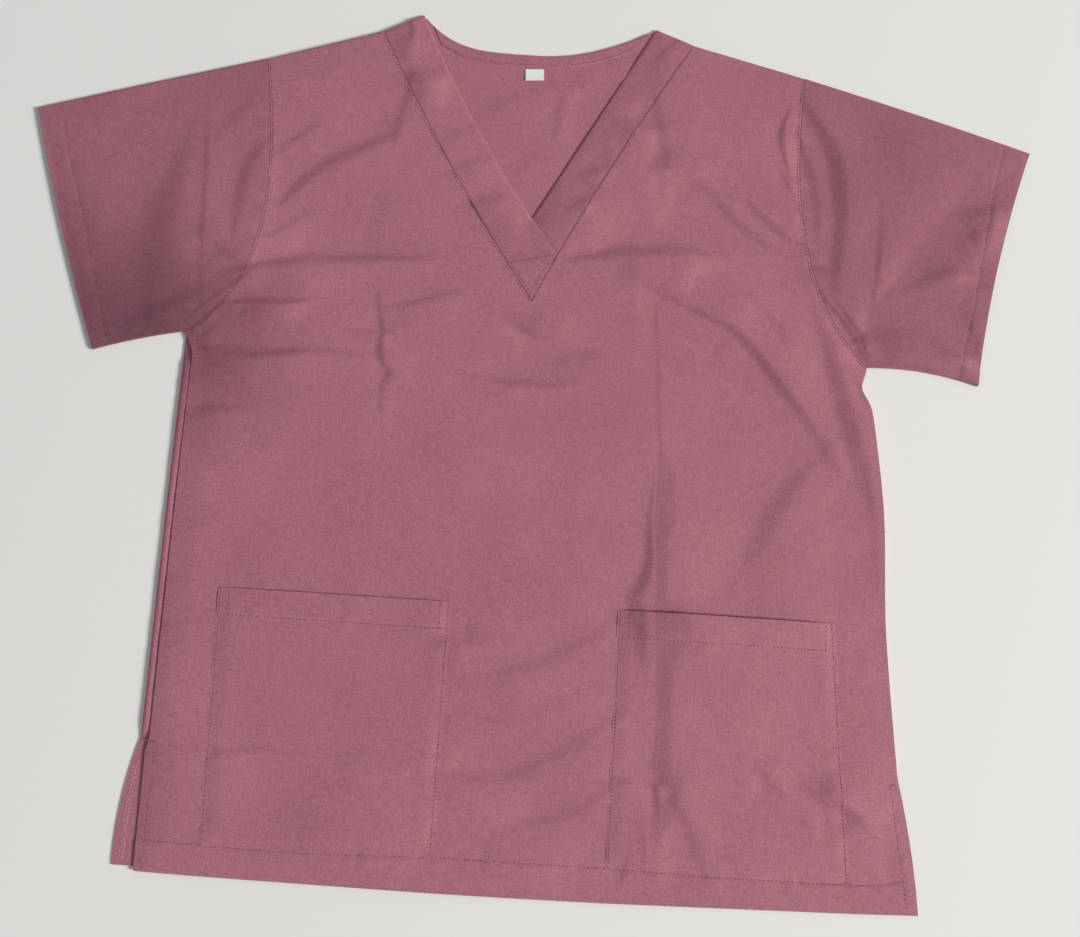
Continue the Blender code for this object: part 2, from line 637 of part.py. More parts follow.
def sleeve(side):
    """A short sleeve, a flattened tube from the armhole seam to the cuff."""
    corner = CORNERS[side]
    toward = corner["toward"]
    along = np.linspace(0, 1, SLEEVE_ROWS + 1)
    fine = np.linspace(0, 1, 200)
    seam = offset(armhole(side, fine), toward * GAP)
    cuff = bow(corner["cuff_top"], corner["cuff_bottom"], toward * CUFF_BOW[side], fine)
    fold = bow(seam[0], corner["cuff_top"], toward * SLEEVE_TOP_BOW[side], along)
    under = bow(seam[-1], corner["cuff_bottom"], toward * UNDERARM_BOW[side], along)

    def patch(share):
        """Plan places at shares of the way down from the fold, one share list for each row."""
        rows = []
        for number, a in enumerate(along):
            b = share[number]
            near = np.column_stack([np.interp(b, fine, seam[:, axis]) for axis in (0, 1)])
            far = np.column_stack([np.interp(b, fine, cuff[:, axis]) for axis in (0, 1)])
            corners = (mix(seam[0], seam[-1], b) * (1 - a) + mix(cuff[0], cuff[-1], b) * a)
            rows.append(near * (1 - a) + far * a + mix(fold[number], under[number], b) - corners)
        return np.array(rows)

    depth = np.hypot(*(under - fold).T)[:, None]
    interior = np.linspace(0, 1, ARMHOLE_CELLS + 1)[1:-1]

    def ring(insets, rises, wall):
        """One skin of the tube: over the top, round the underarm, back below, round the fold."""
        near = np.array(insets)[None, :] / depth
        inside = np.tile(interior, (len(along), 1))
        over = patch(np.hstack([near, inside, 1 - near[:, ::-1]]))
        below = patch(np.hstack([1 - near[:, 1:], inside[:, ::-1], near[:, :0:-1]]))
        rise = np.concatenate([rises, np.ones(len(interior)), rises[::-1]])
        half = CROWN / 2 - wall
        over_z = CROWN / 2 + (half + loft(over[..., 0], over[..., 1])) * rise
        below_z = np.tile(CROWN / 2 - half * rise[1:-1][::-1], (len(along), 1))
        return np.concatenate([np.dstack([over, over_z]), np.dstack([below, below_z])], axis=1)

    outer = ring(RIBBON, RIBBON_RISE, 0.0)
    inner = ring(RIBBON_INNER, RIBBON_INNER_RISE, WALL)
    rows, columns = outer.shape[:2]
    row, column = np.meshgrid(np.arange(rows - 1), np.arange(columns), indexing="ij")
    start = (row * columns + column).ravel()
    after = (row * columns + (column + 1) % columns).ravel()
    quads = np.column_stack([start, after, after + columns, start + columns])
    wall_object("sleeve_" + side, outer, inner, quads)


def neck_facing():
    """The narrow facing turned to the inside of the back neckline."""
    share = np.linspace(0, 1, FACING_CELLS + 1)
    outer_x = mix([FACING_REACH[0]], [FACING_REACH[1]], share)[:, 0]
    inner_x = mix([FACING_INNER_REACH[0]], [FACING_INNER_REACH[1]], share)[:, 0]
    outer_line = np.column_stack([outer_x, back_neckline(outer_x)])
    inner_line = np.column_stack([inner_x, back_neckline(inner_x) - FACING_WIDTH])
    plan = np.stack([outer_line, (outer_line + inner_line) / 2, inner_line])
    low = np.full(plan.shape[:2], LAYER)
    wall_object("back_neck_facing", np.dstack([plan, low + WALL]), np.dstack([plan, low]),
                grid_quads(*plan.shape[:2]))


def size_label():
    """The small bare label sewn below the facing, its free edge a little lifted."""
    across = np.linspace(-0.5, 0.5, 4) * LABEL_SIZE[0]
    along = np.linspace(0.5, -0.5, 4) * LABEL_SIZE[1]
    x, y = np.meshgrid(across, along)
    plan = np.dstack([x + LABEL_CENTRE[0] - LABEL_LEAN * y, y + LABEL_CENTRE[1] + LABEL_LEAN * x])
    free = np.linspace(0, 1, 4)[:, None] ** 2
    low = LAYER + LABEL_CURL * free + np.zeros(x.shape)
    wall_object("size_label", np.dstack([plan, low + LABEL_WALL]), np.dstack([plan, low]),
                grid_quads(4, 4), LABEL_CLOTH, 0.7)


def clear_scene():
    """Remove whatever the scene holds."""
    for thing in list(bpy.data.objects):
        bpy.data.objects.remove(thing, do_unlink=True)


def build():
    """Make every piece of the top."""
    clear_scene()
    back_panel()
    plans = front_panel()
    for side in ("right", "left"):
        sleeve(side)
        neck_band(side)
        pocket(side, plans[side])
    neck_facing()
    size_label()


build()
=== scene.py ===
import math

import bpy
import numpy as np
from mathutils import Matrix


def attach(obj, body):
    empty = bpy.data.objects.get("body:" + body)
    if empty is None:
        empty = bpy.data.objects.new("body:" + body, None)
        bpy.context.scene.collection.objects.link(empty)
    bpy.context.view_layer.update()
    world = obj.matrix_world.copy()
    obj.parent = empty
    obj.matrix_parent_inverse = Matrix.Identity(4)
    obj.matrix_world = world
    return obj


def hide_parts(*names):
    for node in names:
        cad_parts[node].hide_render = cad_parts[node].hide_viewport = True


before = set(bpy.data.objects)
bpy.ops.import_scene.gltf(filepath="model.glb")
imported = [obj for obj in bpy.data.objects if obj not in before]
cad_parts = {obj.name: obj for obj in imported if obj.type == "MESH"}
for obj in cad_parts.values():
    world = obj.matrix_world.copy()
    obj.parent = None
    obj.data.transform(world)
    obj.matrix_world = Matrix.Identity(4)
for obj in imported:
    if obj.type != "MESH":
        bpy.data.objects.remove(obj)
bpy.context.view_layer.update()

# Lengths are in millimetres here and turn into metres when a mesh is made. Right and left are the
# wearer's, so the right side has negative x. Heights are above the surface that the top lies on.

mm = 0.001
sides = ("right", "left")

corners = {
    "right": {
        "toward": -1,
        "neck": (-94.2, 348.2), "seamTop": (-126.7, 331.9), "shoulder": (-219.3, 303.8),
        "cuffTop": (-402.0, 253.2), "cuffBottom": (-338.3, 53.3), "underarm": (-266.1, 70.9),
        "slit": (-273.0, -243.0), "hem": (-269.7, -338.3), "flap": (-286.0, -334.5),
        "side": ((-269.6, -70.0),),
    },
    "left": {
        "toward": 1,
        "neck": (97.9, 343.2), "seamTop": (128.5, 330.3), "shoulder": (219.8, 305.2),
        "cuffTop": (402.4, 247.9), "cuffBottom": (356.5, 52.1), "underarm": (269.5, 63.1),
        "slit": (291.2, -253.0), "hem": (305.1, -347.8), "flap": (302.6, -345.6),
        "side": ((281.4, -45.0), (283.2, -145.0)),
    },
}

curves = {
    "shoulderPull": {"right": (17.0, 112.0), "left": (12.0, 112.0)},
    "underarmPull": {"right": (58.0, 42.0), "left": (48.0, 47.0)},
    "neckDrop": 29.8,
    "neckPower": {"right": 4.0, "left": 2.0},
    "seamBow": {"right": 4.8, "left": -3.6},
    "innerBow": {"right": 6.5, "left": 0.0},
    "sleeveTopBow": {"right": 0.5, "left": 1.0},
    "underarmBow": {"right": 1.5, "left": 4.0},
    "cuffBow": {"right": 2.5, "left": -5.0},
    "slitBow": {"right": 0.0, "left": 2.0},
    "flapBow": {"right": -3.5, "left": 1.5},
    "hemBow": 4.0,
    "nip": {"depth": 6.0, "below": 17.0, "reach": 10.0},
}

neck = {
    "tip": (3.8, 106.7),            # the V's tip
    "crossing": (2.5, 176.5),       # where the bands' inner edges cross
    "bandEnd": (23.1, 145.6),       # where the right band's inner edge meets the left seam
}

layers = {
    "backTop": 1.2,
    "frontTop": 2.7, "frontWall": 0.8,      # top of the upper layer where nothing lifts it
    "air": 1.1, "airRim": 30.0,             # resting air under the upper layer, settled at its edges
    "foldRim": 18.0,                        # width over which folds settle at the outline
    "gap": 0.3,
    "roll": 1.6,                            # radius of a rolled edge
}


def even(count):
    # Even shares from 0 to 1
    return np.linspace(0, 1, count)


def mix(start, end, share):
    # Straight line: start and end weighted by the share
    share = np.asarray(share, float)[..., None]
    return np.asarray(start, float) * (1 - share) + np.asarray(end, float) * share


def bow(start, end, rise, share):
    # Parabola over a chord: 4 * rise * share * (1 - share) to the left of the straight line
    chord = np.subtract(end, start)
    sideways = np.array([-chord[1], chord[0]]) / np.hypot(*chord)
    share = np.asarray(share, float)
    return mix(start, end, share) + (4 * rise * share * (1 - share))[..., None] * sideways


def readAt(line, length, at):
    # A line of points read at places, where the length gives each point's own place
    return np.column_stack([np.interp(at, length, line[:, axis]) for axis in (0, 1)])


def lengthAlong(points):
    # Running length of a line of points
    return np.concatenate([[0], np.cumsum(np.sqrt((np.diff(points, axis=0) ** 2).sum(1)))])


def through(knots, share):
    # Catmull-Rom curve through the knots, read at shares of its length
    knots = np.array(knots, float)
    ends = np.vstack([2 * knots[0] - knots[1], knots, 2 * knots[-1] - knots[-2]])
    t = np.linspace(0, 1, 24, endpoint=False)[:, None]
    runs = []
    for a, b, c, d in zip(ends[:-3], ends[1:-2], ends[2:-1], ends[3:]):
        runs.append(b + t * (c - a) / 2 + t ** 2 * (a - 2.5 * b + 2 * c - d / 2)
                    + t ** 3 * (1.5 * (b - c) + (d - a) / 2))
    points = np.vstack(runs + [knots[-1:]])
    length = lengthAlong(points)
    return readAt(points, length / length[-1], share)


def softStep(value):
    # 3v^2 - 2v^3 between 0 and 1
    value = np.clip(value, 0, 1)
    return value * value * (3 - 2 * value)


def bump(value, width):
    # Bell curve of a width
    return np.exp(-(value / width) ** 2)


def edgeFall(distance, width):
    # 1 at an edge and 0 from a width inside it: 1 - square root of distance / width
    return 1 - np.sqrt(np.clip(distance / width, 0, 1))


def directions(line):
    # The line's own direction at each point
    run = np.gradient(line, axis=0)
    return run / np.hypot(run[:, 0], run[:, 1])[:, None]


def offsetLine(points, distance):
    # Each point moved to the left of the line's own direction
    along = directions(points)
    return points + distance * np.column_stack([-along[:, 1], along[:, 0]])


def unevenness(x, y, size, seed, cells=128):
    # Smooth noise between -1 and 1: random values on a square lattice, blended by soft steps
    lattice = np.random.default_rng(seed).uniform(-1, 1, (cells, cells))
    u, v = np.asarray(x) / size, np.asarray(y) / size
    i, j = np.floor(u).astype(int), np.floor(v).astype(int)
    a, b = softStep(u - i), softStep(v - j)
    low, high = (lattice[i % cells, row % cells] * (1 - a) + lattice[(i + 1) % cells, row % cells] * a
                 for row in (j, j + 1))
    return low * (1 - b) + high * b


def spread(length, step, start=(), end=()):
    # Shares of a run: given insets at both its ends, and even steps between them
    low = np.array([0.0, *start]) / length
    high = 1 - np.array([0.0, *end])[::-1] / length
    count = max(2, round((high[0] - low[-1]) * length / step))
    return np.concatenate([low[:-1], np.linspace(low[-1], high[0], count + 1), high[1:]])


def armhole(side, share):
    # Cubic Bezier from the shoulder to the underarm
    corner, toward = corners[side], corners[side]["toward"]
    inward, down = curves["shoulderPull"][side]
    first = np.add(corner["shoulder"], (-toward * inward, -down))
    inward, up = curves["underarmPull"][side]
    second = np.add(corner["underarm"], (-toward * inward, up))
    t = np.asarray(share, float)[..., None]
    return ((1 - t) ** 3 * np.array(corner["shoulder"]) + 3 * (1 - t) ** 2 * t * first
            + 3 * (1 - t) * t ** 2 * second + t ** 3 * np.array(corner["underarm"]))


def vSeam(side, share):
    # The neck band's seam, bowed from the shoulder to the V's tip
    rise = corners[side]["toward"] * curves["seamBow"][side]
    return bow(corners[side]["seamTop"], neck["tip"], rise, share)


def bandEdge(side, share):
    # The right band's inner edge ends at the left seam, and the left one's where the two cross
    end = neck["bandEnd" if side == "right" else "crossing"]
    return bow(corners[side]["neck"], end, corners[side]["toward"] * curves["innerBow"][side], share)


def sideEdge(side, share):
    # The body's side from underarm to slit, with the left one's nip
    corner, nip = corners[side], curves["nip"]
    points = through([corner["underarm"], *corner["side"], corner["slit"]], share)
    if side == "left":
        below = corner["underarm"][1] - points[:, 1]
        points[:, 0] -= nip["depth"] * bump(below - nip["below"], nip["reach"])
    return points


def backNeckline(x):
    # A power curve that hangs below the line between the two neck points
    right, left = corners["right"]["neck"], corners["left"]["neck"]
    middle, reach = (right[0] + left[0]) / 2, (left[0] - right[0]) / 2
    chord = np.interp(x, (right[0], left[0]), (right[1], left[1]))
    power = np.where(x < middle, curves["neckPower"]["right"], curves["neckPower"]["left"])
    return chord - curves["neckDrop"] * (1 - np.clip(np.abs(x - middle) / reach, 0, 1) ** power)


def hemLevel(x):
    # A parabola that hangs below the line between the hem's ends
    right, left = corners["right"]["hem"], corners["left"]["hem"]
    share = (x - right[0]) / (left[0] - right[0])
    return right[1] + share * (left[1] - right[1]) - 4 * curves["hemBow"] * share * (1 - share)


def follow(points, levels, places):
    # A line of points read at levels down the body, where places count along the levels
    y = np.interp(places, np.arange(len(levels)), levels)
    return np.column_stack([np.interp(-y, -points[:, 1], points[:, 0]), y])


def nearLine(x, y, line, overrun=0.0):
    # Signed distance to the left of a line of points, the length along it at the nearest place, and
    # its whole length. The line runs on straight past its ends by the overrun.
    line = np.asarray(line, float)
    if overrun:
        first, last = line[0] - line[1], line[-1] - line[-2]
        line = np.vstack([line[0] + first / np.hypot(*first) * overrun, line,
                          line[-1] + last / np.hypot(*last) * overrun])
    points = np.column_stack([np.ravel(x), np.ravel(y)]).astype(float)
    start, run = line[:-1], np.diff(line, axis=0)
    length = np.hypot(run[:, 0], run[:, 1])
    alongAt = np.concatenate([[0], np.cumsum(length)])
    best = np.full(len(points), np.inf)
    signed, at = np.zeros(len(points)), np.zeros(len(points))
    for k in range(len(start)):
        relX, relY = (points - start[k]).T
        share = np.clip((relX * run[k, 0] + relY * run[k, 1]) / length[k] ** 2, 0, 1)
        away = np.hypot(relX - share * run[k, 0], relY - share * run[k, 1])
        nearer = away < best
        best = np.where(nearer, away, best)
        side = np.where(run[k, 0] * relY - run[k, 1] * relX < 0, -1.0, 1.0)
        signed = np.where(nearer, side * away, signed)
        at = np.where(nearer, alongAt[k] + share * length[k], at)
    shape = np.shape(x)
    return signed.reshape(shape), (at - overrun).reshape(shape), alongAt[-1] - 2 * overrun


def pastEnds(at, total):
    # How far a place lies before a line's start or past its end
    return np.maximum(np.maximum(-at, at - total), 0)


def ridge(x, y, places, count, dark, lit, rise, overrun=30, endFade=10):
    # A low fold on a line of so many points: it rises to the right over its dark width, and comes
    # back in a bell of its lit width
    signed, at, total = nearLine(x, y, through(places, even(count)), overrun)
    return (rise * softStep(0.5 - signed / dark) * bump(np.maximum(-signed - dark / 2, 0), lit)
            * bump(pastEnds(at, total), endFade))


def xy(plan):
    # The two coordinates of a grid of points
    return plan[..., 0], plan[..., 1]


# The outline of the upper layer, round both sleeves and down into the V
halves = {}
for side, corner in corners.items():
    halves[side] = np.vstack([[corner[k] for k in ("neck", "shoulder", "cuffTop", "cuffBottom")],
                              sideEdge(side, even(15)), [corner["hem"]]])
outline = np.vstack([halves["right"], halves["left"][::-1], [neck["crossing"]], halves["right"][:1]])


# Soft folds. Each runs through its places, and its dark face has the width given there. Walked from
# its first place, the cloth rises to the right over that width, and comes back slowly on both sides
# over several widths. The shade says how much darker than level cloth the face looks in the studio's
# light, for the whole fold or for each place: the slope follows from it and from the fold's direction.
# A negative shade makes a bright face.
foldLook = {
    "lightFrom": -16.0, "shadePerSlope": 1.33, "leastShare": 0.15, "steepest": 0.8, "tallest": 5.5,
    "evenOver": 10.0, "leastReach": 3.0, "farthest": 27.0, "overrun": 25.0, "endFade": 4.0,
    "bells": 2.2, "margin": 12.0,       # a fold is worked out only this far from its places
}
lightAngle = math.radians(foldLook["lightFrom"])
lightAcross = np.array([math.cos(lightAngle), math.sin(lightAngle)])
folds = (
    # name, places with widths, shade, fall in widths
    ("shoulder sweep", ((-209, 180, 2), (-200, 179, 4.5), (-194, 186, 8), (-185, 197, 9), (-175, 207, 9.5),
     (-163, 216, 10), (-150, 223, 10), (-133, 232, 9.5), (-120, 237, 7), (-110, 240, 3)),
     (0.04, 0.1, 0.22, 0.27, 0.28, 0.28, 0.28, 0.27, 0.22, 0.1), 3),
    ("shoulder sweep, up", ((-112, 238, 4), (-111, 246, 8), (-108, 257, 8.5), (-104, 272, 7),
     (-103, 290, 5)), 0.19, 2),
    ("armhole nip", ((-208, 228, 1.3), (-197, 232, 3.4), (-188, 238, 4), (-176, 246, 2)), 0.25, 4),
    ("armhole nip, small", ((-210, 220, 1.2), (-201, 224, 2.2), (-196, 227, 1.2)), 0.25, 3),
    ("armhole nip, low", ((-214, 152, 1.6), (-204, 154, 3.4), (-193, 161, 4.6), (-182, 168, 3.4),
     (-168, 174, 1.3)), 0.23, 4),
    ("chest level", ((-240, 122, 1.5), (-221, 125, 5), (-208, 128, 7.5), (-196, 130, 9.5), (-177, 134, 11),
     (-157, 135, 10), (-137, 136, 8), (-117, 137, 6), (-84, 137, 3)), 0.26, 1.8),
    ("rib level", ((-228, 97, 4), (-222, 98, 5.4), (-206, 99, 8), (-190, 98, 5.8), (-172, 100, 1.9)), 0.26,
     2.2),
    ("side level", ((-268, 58, 3), (-244, 58, 2.6), (-217, 55, 5), (-190, 57, 5), (-165, 59, 3),
     (-119, 56, 2)), 0.38, 2.5),
    ("side level, low", ((-262, 8, 3), (-250, 9, 5), (-236, 10, 6.5), (-222, 11, 5), (-208, 12, 2)), 0.15,
     3.5),
    ("middle crease", ((-110, 10, 1.5), (-110, 28, 2.4), (-109, 37, 3), (-104, 43, 3.6), (-110, 51, 4.2),
     (-113, 62, 4.2), (-112, 76, 3.6), (-115, 92, 2.6), (-117, 104, 1.4)), 0.36, 2.2),
    ("middle crease, branch", ((-128, 78, 1.2), (-120, 77, 2.6), (-111, 75, 2.6)), 0.14, 3),
    ("centre, high", ((-104, 99, 1.3), (-85, 102, 4.6), (-69, 107, 4.6), (-50, 113, 1.6)), 0.2, 3),
    ("below the tip", ((-14, 90, 1.5), (7, 79, 5), (26, 74, 5), (52, 70, 1.5)), 0.17, 2.5),
    ("centre, low", ((-46, 47, 1), (-26, 42, 3.4), (-8, 40, 4), (12, 39, 3.4), (29, 39, 2.6), (44, 45, 1)),
     0.24, 3),
    ("neck level", ((24, 143, 2), (35, 142, 3), (42, 144, 4.2), (57, 146, 7), (69, 150, 11), (84, 152, 14),
     (102, 152, 11), (116, 155, 14), (134, 154, 10), (150, 149, 4)),
     (0.1, 0.26, 0.3, 0.27, 0.25, 0.24, 0.24, 0.18, 0.14, 0.06), 1.7),
    ("diagonal", ((253, -27, 4), (246, -19, 8), (236, -6, 12), (222, 16, 10.5), (201, 45, 9.2),
     (182, 70, 7.2), (166, 88, 7.3), (144, 99, 5.8), (122, 110, 5.4), (106, 117, 4.6), (89, 125, 3)),
     (0.05, 0.12, 0.17, 0.28, 0.37, 0.33, 0.22, 0.19, 0.23, 0.15, 0.08), 3.5),
    ("chest arc", ((228, 148, 2.4), (216, 150, 4), (203, 153, 5), (189, 160, 5), (178, 168, 5.5),
     (166, 177, 5.5), (152, 193, 6), (135, 211, 5), (119, 216, 5), (104, 217, 3)),
     (0.2, 0.3, 0.34, 0.34, 0.3, 0.26, 0.16, 0.16, 0.26, 0.1), 3),
    ("long thin", ((208, 76, 2), (203, 85, 5.8), (198, 95, 6), (190, 105, 4.6), (182, 113, 3.4),
     (174, 121, 2.4), (160, 131, 1.6), (146, 141, 1.2)), 0.09, 4),
    ("armhole short", ((216, 163, 3), (205, 167, 4), (194, 175, 4.5), (182, 187, 4), (176, 194, 2.5)), 0.26,
     3),
    ("left sleeve, second", ((230, 174, 3), (230, 190, 6), (227, 212, 7), (222, 230, 7), (217, 244, 5),
     (214, 256, 2)), 0.2, 1.2),
    ("left sleeve, wide", ((243, 117, 3), (245, 142, 8), (248, 176, 10), (247, 209, 13), (243, 238, 13),
     (231, 261, 9), (222, 277, 7), (214, 288, 3)), (0.06, 0.2, 0.27, 0.3, 0.28, 0.28, 0.24, 0.1), 1.6),
    ("left sleeve, hook", ((276, 110, 2), (290, 125, 8), (305, 134, 16), (321, 145, 24), (338, 165, 28),
     (352, 180, 27), (364, 198, 22), (376, 214, 10)), (0.1, 0.13, 0.14, 0.15, 0.15, 0.14, 0.12, 0.06), 0.8),
    ("left cuff, high", ((342, 194, 4), (352, 197, 8), (370, 198, 9.5), (392, 201, 7)), 0.13, 2.5),
    ("left cuff, slanting", ((336, 166, 2), (345, 171, 5), (358, 178, 6.5), (371, 186, 7), (386, 195, 4)),
     0.09, 2.5),
    ("left cuff, low", ((338, 129, 2), (350, 131, 6), (362, 133, 7.5), (376, 135, 5)), 0.1, 3),
    ("left sleeve, below the hook", ((296, 122, 1.5), (312, 136, 5), (326, 144, 7), (342, 146, 6),
     (353, 144, 2)), 0.1, 3),
    ("left underarm, bright", ((270, 65, 2), (278, 71, 4.6), (286, 77, 4.6), (295, 83, 1.5)), -0.06, 2),
    ("left underarm, one", ((270, 64, 2), (262, 81, 4.4), (254, 95, 4.2), (246, 106, 3), (236, 118, 2)),
     0.32, 1.8),
    ("left underarm, two", ((270, 70, 2.4), (265, 87, 4), (256, 101, 4), (246, 115, 2)), 0.28, 1.6),
    ("left sleeve, diagonal", ((290, 128, 2), (312, 157, 3), (336, 189, 3.2), (358, 219, 3), (378, 248, 2)),
     0.13, 4),
    ("left side trough", ((270, -42, 4), (265, -26, 11.6), (258, 5, 14), (250, 36, 14), (243, 60, 13),
     (237, 84, 10), (230, 100, 5)), (0.1, 0.19, 0.3, 0.28, 0.26, 0.2, 0.1), 4),
    ("right band, low", ((-52, 181, 3), (-40, 186, 8), (-28, 191, 8), (-16, 197, 3)), 0.14, 1.6),
    ("right band, middle", ((-66, 210, 3), (-54, 217, 8), (-44, 221, 8), (-34, 225, 3)), 0.1, 1.8),
    ("left band, low", ((28, 182, 3), (36, 189, 9), (44, 192, 8), (50, 192, 2)), 0.1, 1.2),
    ("left band, middle", ((38, 214, 3), (47, 218, 8), (58, 220, 8), (66, 221, 2)), 0.11, 1.4),
    ("left band, top", ((74, 262, 3), (84, 259, 8), (94, 257, 8), (104, 256, 3)), 0.1, 2),
    ("band cross", ((-14, 138.5, 2.2), (4, 142, 3), (21, 146, 2.2)), 0.16, 2),
    ("left side, by the nip", ((270, 26, 1.5), (267, 40, 3.6), (262, 52, 3), (256, 60, 1.5)), 0.18, 2),
    ("left side pucker", ((254, -151, 1.5), (262, -143, 4), (270, -137, 4.4), (281, -129, 3)), -0.08, 2.5),
    ("by the right pocket", ((-48, -160, 2.6), (-38, -162, 3.4), (-26, -164, 1.6)), 0.24, 3),
    ("by the right pocket, outside", ((-266, -155, 1.5), (-248, -156, 3), (-228, -155, 2)), 0.08, 3),
    ("across the right pocket", ((-262, -252, 3), (-198, -249, 5), (-120, -249, 4), (-49, -247, 3)), 0.04,
     4),
    ("right pocket wrinkle", ((-222, -256, 1.2), (-214, -251, 2.6), (-200, -249, 2.2), (-186, -249, 1)),
     0.23, 3),
    ("right pocket hem wrinkle", ((-128, -152, 1.5), (-126, -146, 4), (-127, -138, 2.5)), 0.2, 2),
    ("pocket tuck", ((79, -259, 1.4), (90, -259, 2.4), (102, -261, 2.8), (111, -262, 2.2)), 0.2, 3),
    ("pocket tuck, end", ((113, -278, 1.4), (112, -270, 2.8), (110, -262, 3)), 0.29, 2),
    ("pocket wrinkle", ((207, -267, 1.2), (201, -261, 3.2), (194, -255, 4), (186, -251, 1.4)), 0.16, 2.5),
    ("pocket outer wrinkle", ((270, -291, 1.5), (262, -281, 3.6), (252, -275, 6), (241, -271, 6.5),
     (230, -268, 2.5)), 0.16, 2),
    ("pocket fork, right", ((150, -328, 2), (144, -313, 7), (137, -297, 9), (131, -284, 8), (126, -272, 5)),
     0.14, 1.6),
    ("hem nick", ((82, -346, 1.2), (85, -338, 3.4), (89, -328, 4), (92, -316, 1.5)), 0.29, 1.8),
    ("hem nick, far", ((156, -346, 1.2), (150, -341, 3.4), (144, -335, 3.6), (137, -330, 1.4)), 0.12, 2),
    ("right sleeve, pressed", ((-258, 96, 2), (-260, 157, 3.2), (-261, 185, 3.4), (-262, 217, 3.2),
     (-265, 258, 2)), (0.12, 0.3, 0.34, 0.32, 0.16), 3.5),
    ("left sleeve, pressed", ((272, 98, 1), (275, 118, 3), (279, 152, 3.2), (282, 192, 2)),
     (0.1, 0.32, 0.32, 0.14), 3),
    ("right sleeve, band", ((-235, 152, 3), (-234, 162, 7), (-233, 178, 10), (-230, 204, 10.5),
     (-222, 221, 9), (-211, 236, 4)), 0.2, 1.5),
    ("right underarm, one", ((-264, 84, 1.6), (-252, 95, 4), (-240, 106, 4.4), (-226, 116, 3),
     (-216, 124, 1.2)), 0.2, 2.5),
    ("right underarm, two", ((-266, 72, 2.4), (-254, 80, 3.9), (-242, 92, 3.6), (-234, 101, 1.4)), 0.2, 2),
    ("right sleeve, level", ((-223, 124, 2.2), (-233, 131, 4.6), (-247, 143, 5), (-259, 147, 3)), 0.13, 3),
    ("right sleeve, pucker", ((-304, 84, 1.2), (-295, 80, 3), (-285, 77, 3), (-276, 74, 1.4)), 0.13, 2.5),
    ("right sleeve, pucker two", ((-340, 96, 1.2), (-328, 88, 3), (-314, 84, 2.6), (-300, 82, 1.2)), 0.1,
     2.5),
    ("right underarm, body", ((-266, 62, 2), (-256, 66, 4), (-247, 73, 3.4), (-240, 82, 1.4)), 0.2, 2),
    ("right underarm, puckers", ((-264, 70, 1.5), (-256, 62, 3.2), (-248, 56, 3.2), (-240, 54, 1.5)), 0.3,
     1.8),
)
softFolds = (
    # name, places with widths, shade, fall in widths
    ("diagonal return", ((168, -108, 12), (180, -88, 17), (199, -52, 20), (212, -30, 18), (224, -14, 14),
     (238, -3, 8)), (0.03, 0.08, 0.13, 0.14, 0.12, 0.08), 2.5),
    ("armhole wave, high", ((205, 228, 3), (202, 240, 6), (200, 250, 7), (202, 263, 6), (207, 277, 2)),
     0.24, 1.3),
    ("armhole wave, low", ((211, 203, 2), (207, 210, 5), (203, 218, 5), (200, 226, 2)), 0.18, 1.3),
    ("left sleeve, low", ((264, 86, 6), (284, 92, 26), (304, 92, 34), (326, 86, 32), (346, 78, 12)), 0.11,
     0.7),
    ("left side, below the trough", ((276, -110, 3), (274, -80, 7), (272, -50, 9), (270, -20, 6)), 0.08, 3),
    ("right band, top", ((-104, 292, 6), (-92, 294, 18), (-80, 295, 18), (-70, 296, 6)), 0.08, 1),
    ("between pockets, high", ((-20, -187, 4), (12, -180, 12), (34, -171, 15), (52, -160, 12),
     (70, -149, 5)), 0.08, 2),
    ("between pockets, middle", ((-50, -262, 4), (-22, -262, 11), (4, -259, 15), (28, -248, 15),
     (50, -235, 13), (74, -219, 6)), 0.08, 2),
    ("between pockets, low", ((0, -299, 4), (24, -292, 11), (50, -284, 12), (74, -269, 6)), 0.08, 2),
    ("between pockets, faint", ((-40, -216, 3), (0, -220, 9), (36, -206, 9), (68, -190, 4)), 0.05, 3),
    ("right sleeve, broad", ((-298, 96, 6), (-298, 115, 26), (-297, 144, 38), (-291, 178, 33),
     (-283, 208, 20), (-278, 230, 12), (-274, 250, 5)), (0.06, 0.09, 0.15, 0.17, 0.09, 0.08, 0.06), 1.5),
    ("right sleeve, top", ((-258, 232, 1.5), (-251, 241, 5), (-243, 251, 8), (-235, 262, 6),
     (-228, 272, 2)), 0.1, 2),
    ("right sleeve, low zone", ((-318, 76, 4), (-304, 80, 9), (-289, 87, 15), (-272, 97, 17),
     (-256, 106, 9)), 0.12, 1.6),
)

# A thin pressed crease down the right of the front: a narrow groove along a line, which dies away
# past its ends over the fade
crease = {"places": ((-107, -130), (-106, -57), (-109, 6)), "width": 1.5, "depth": 0.14, "fade": 9.0}

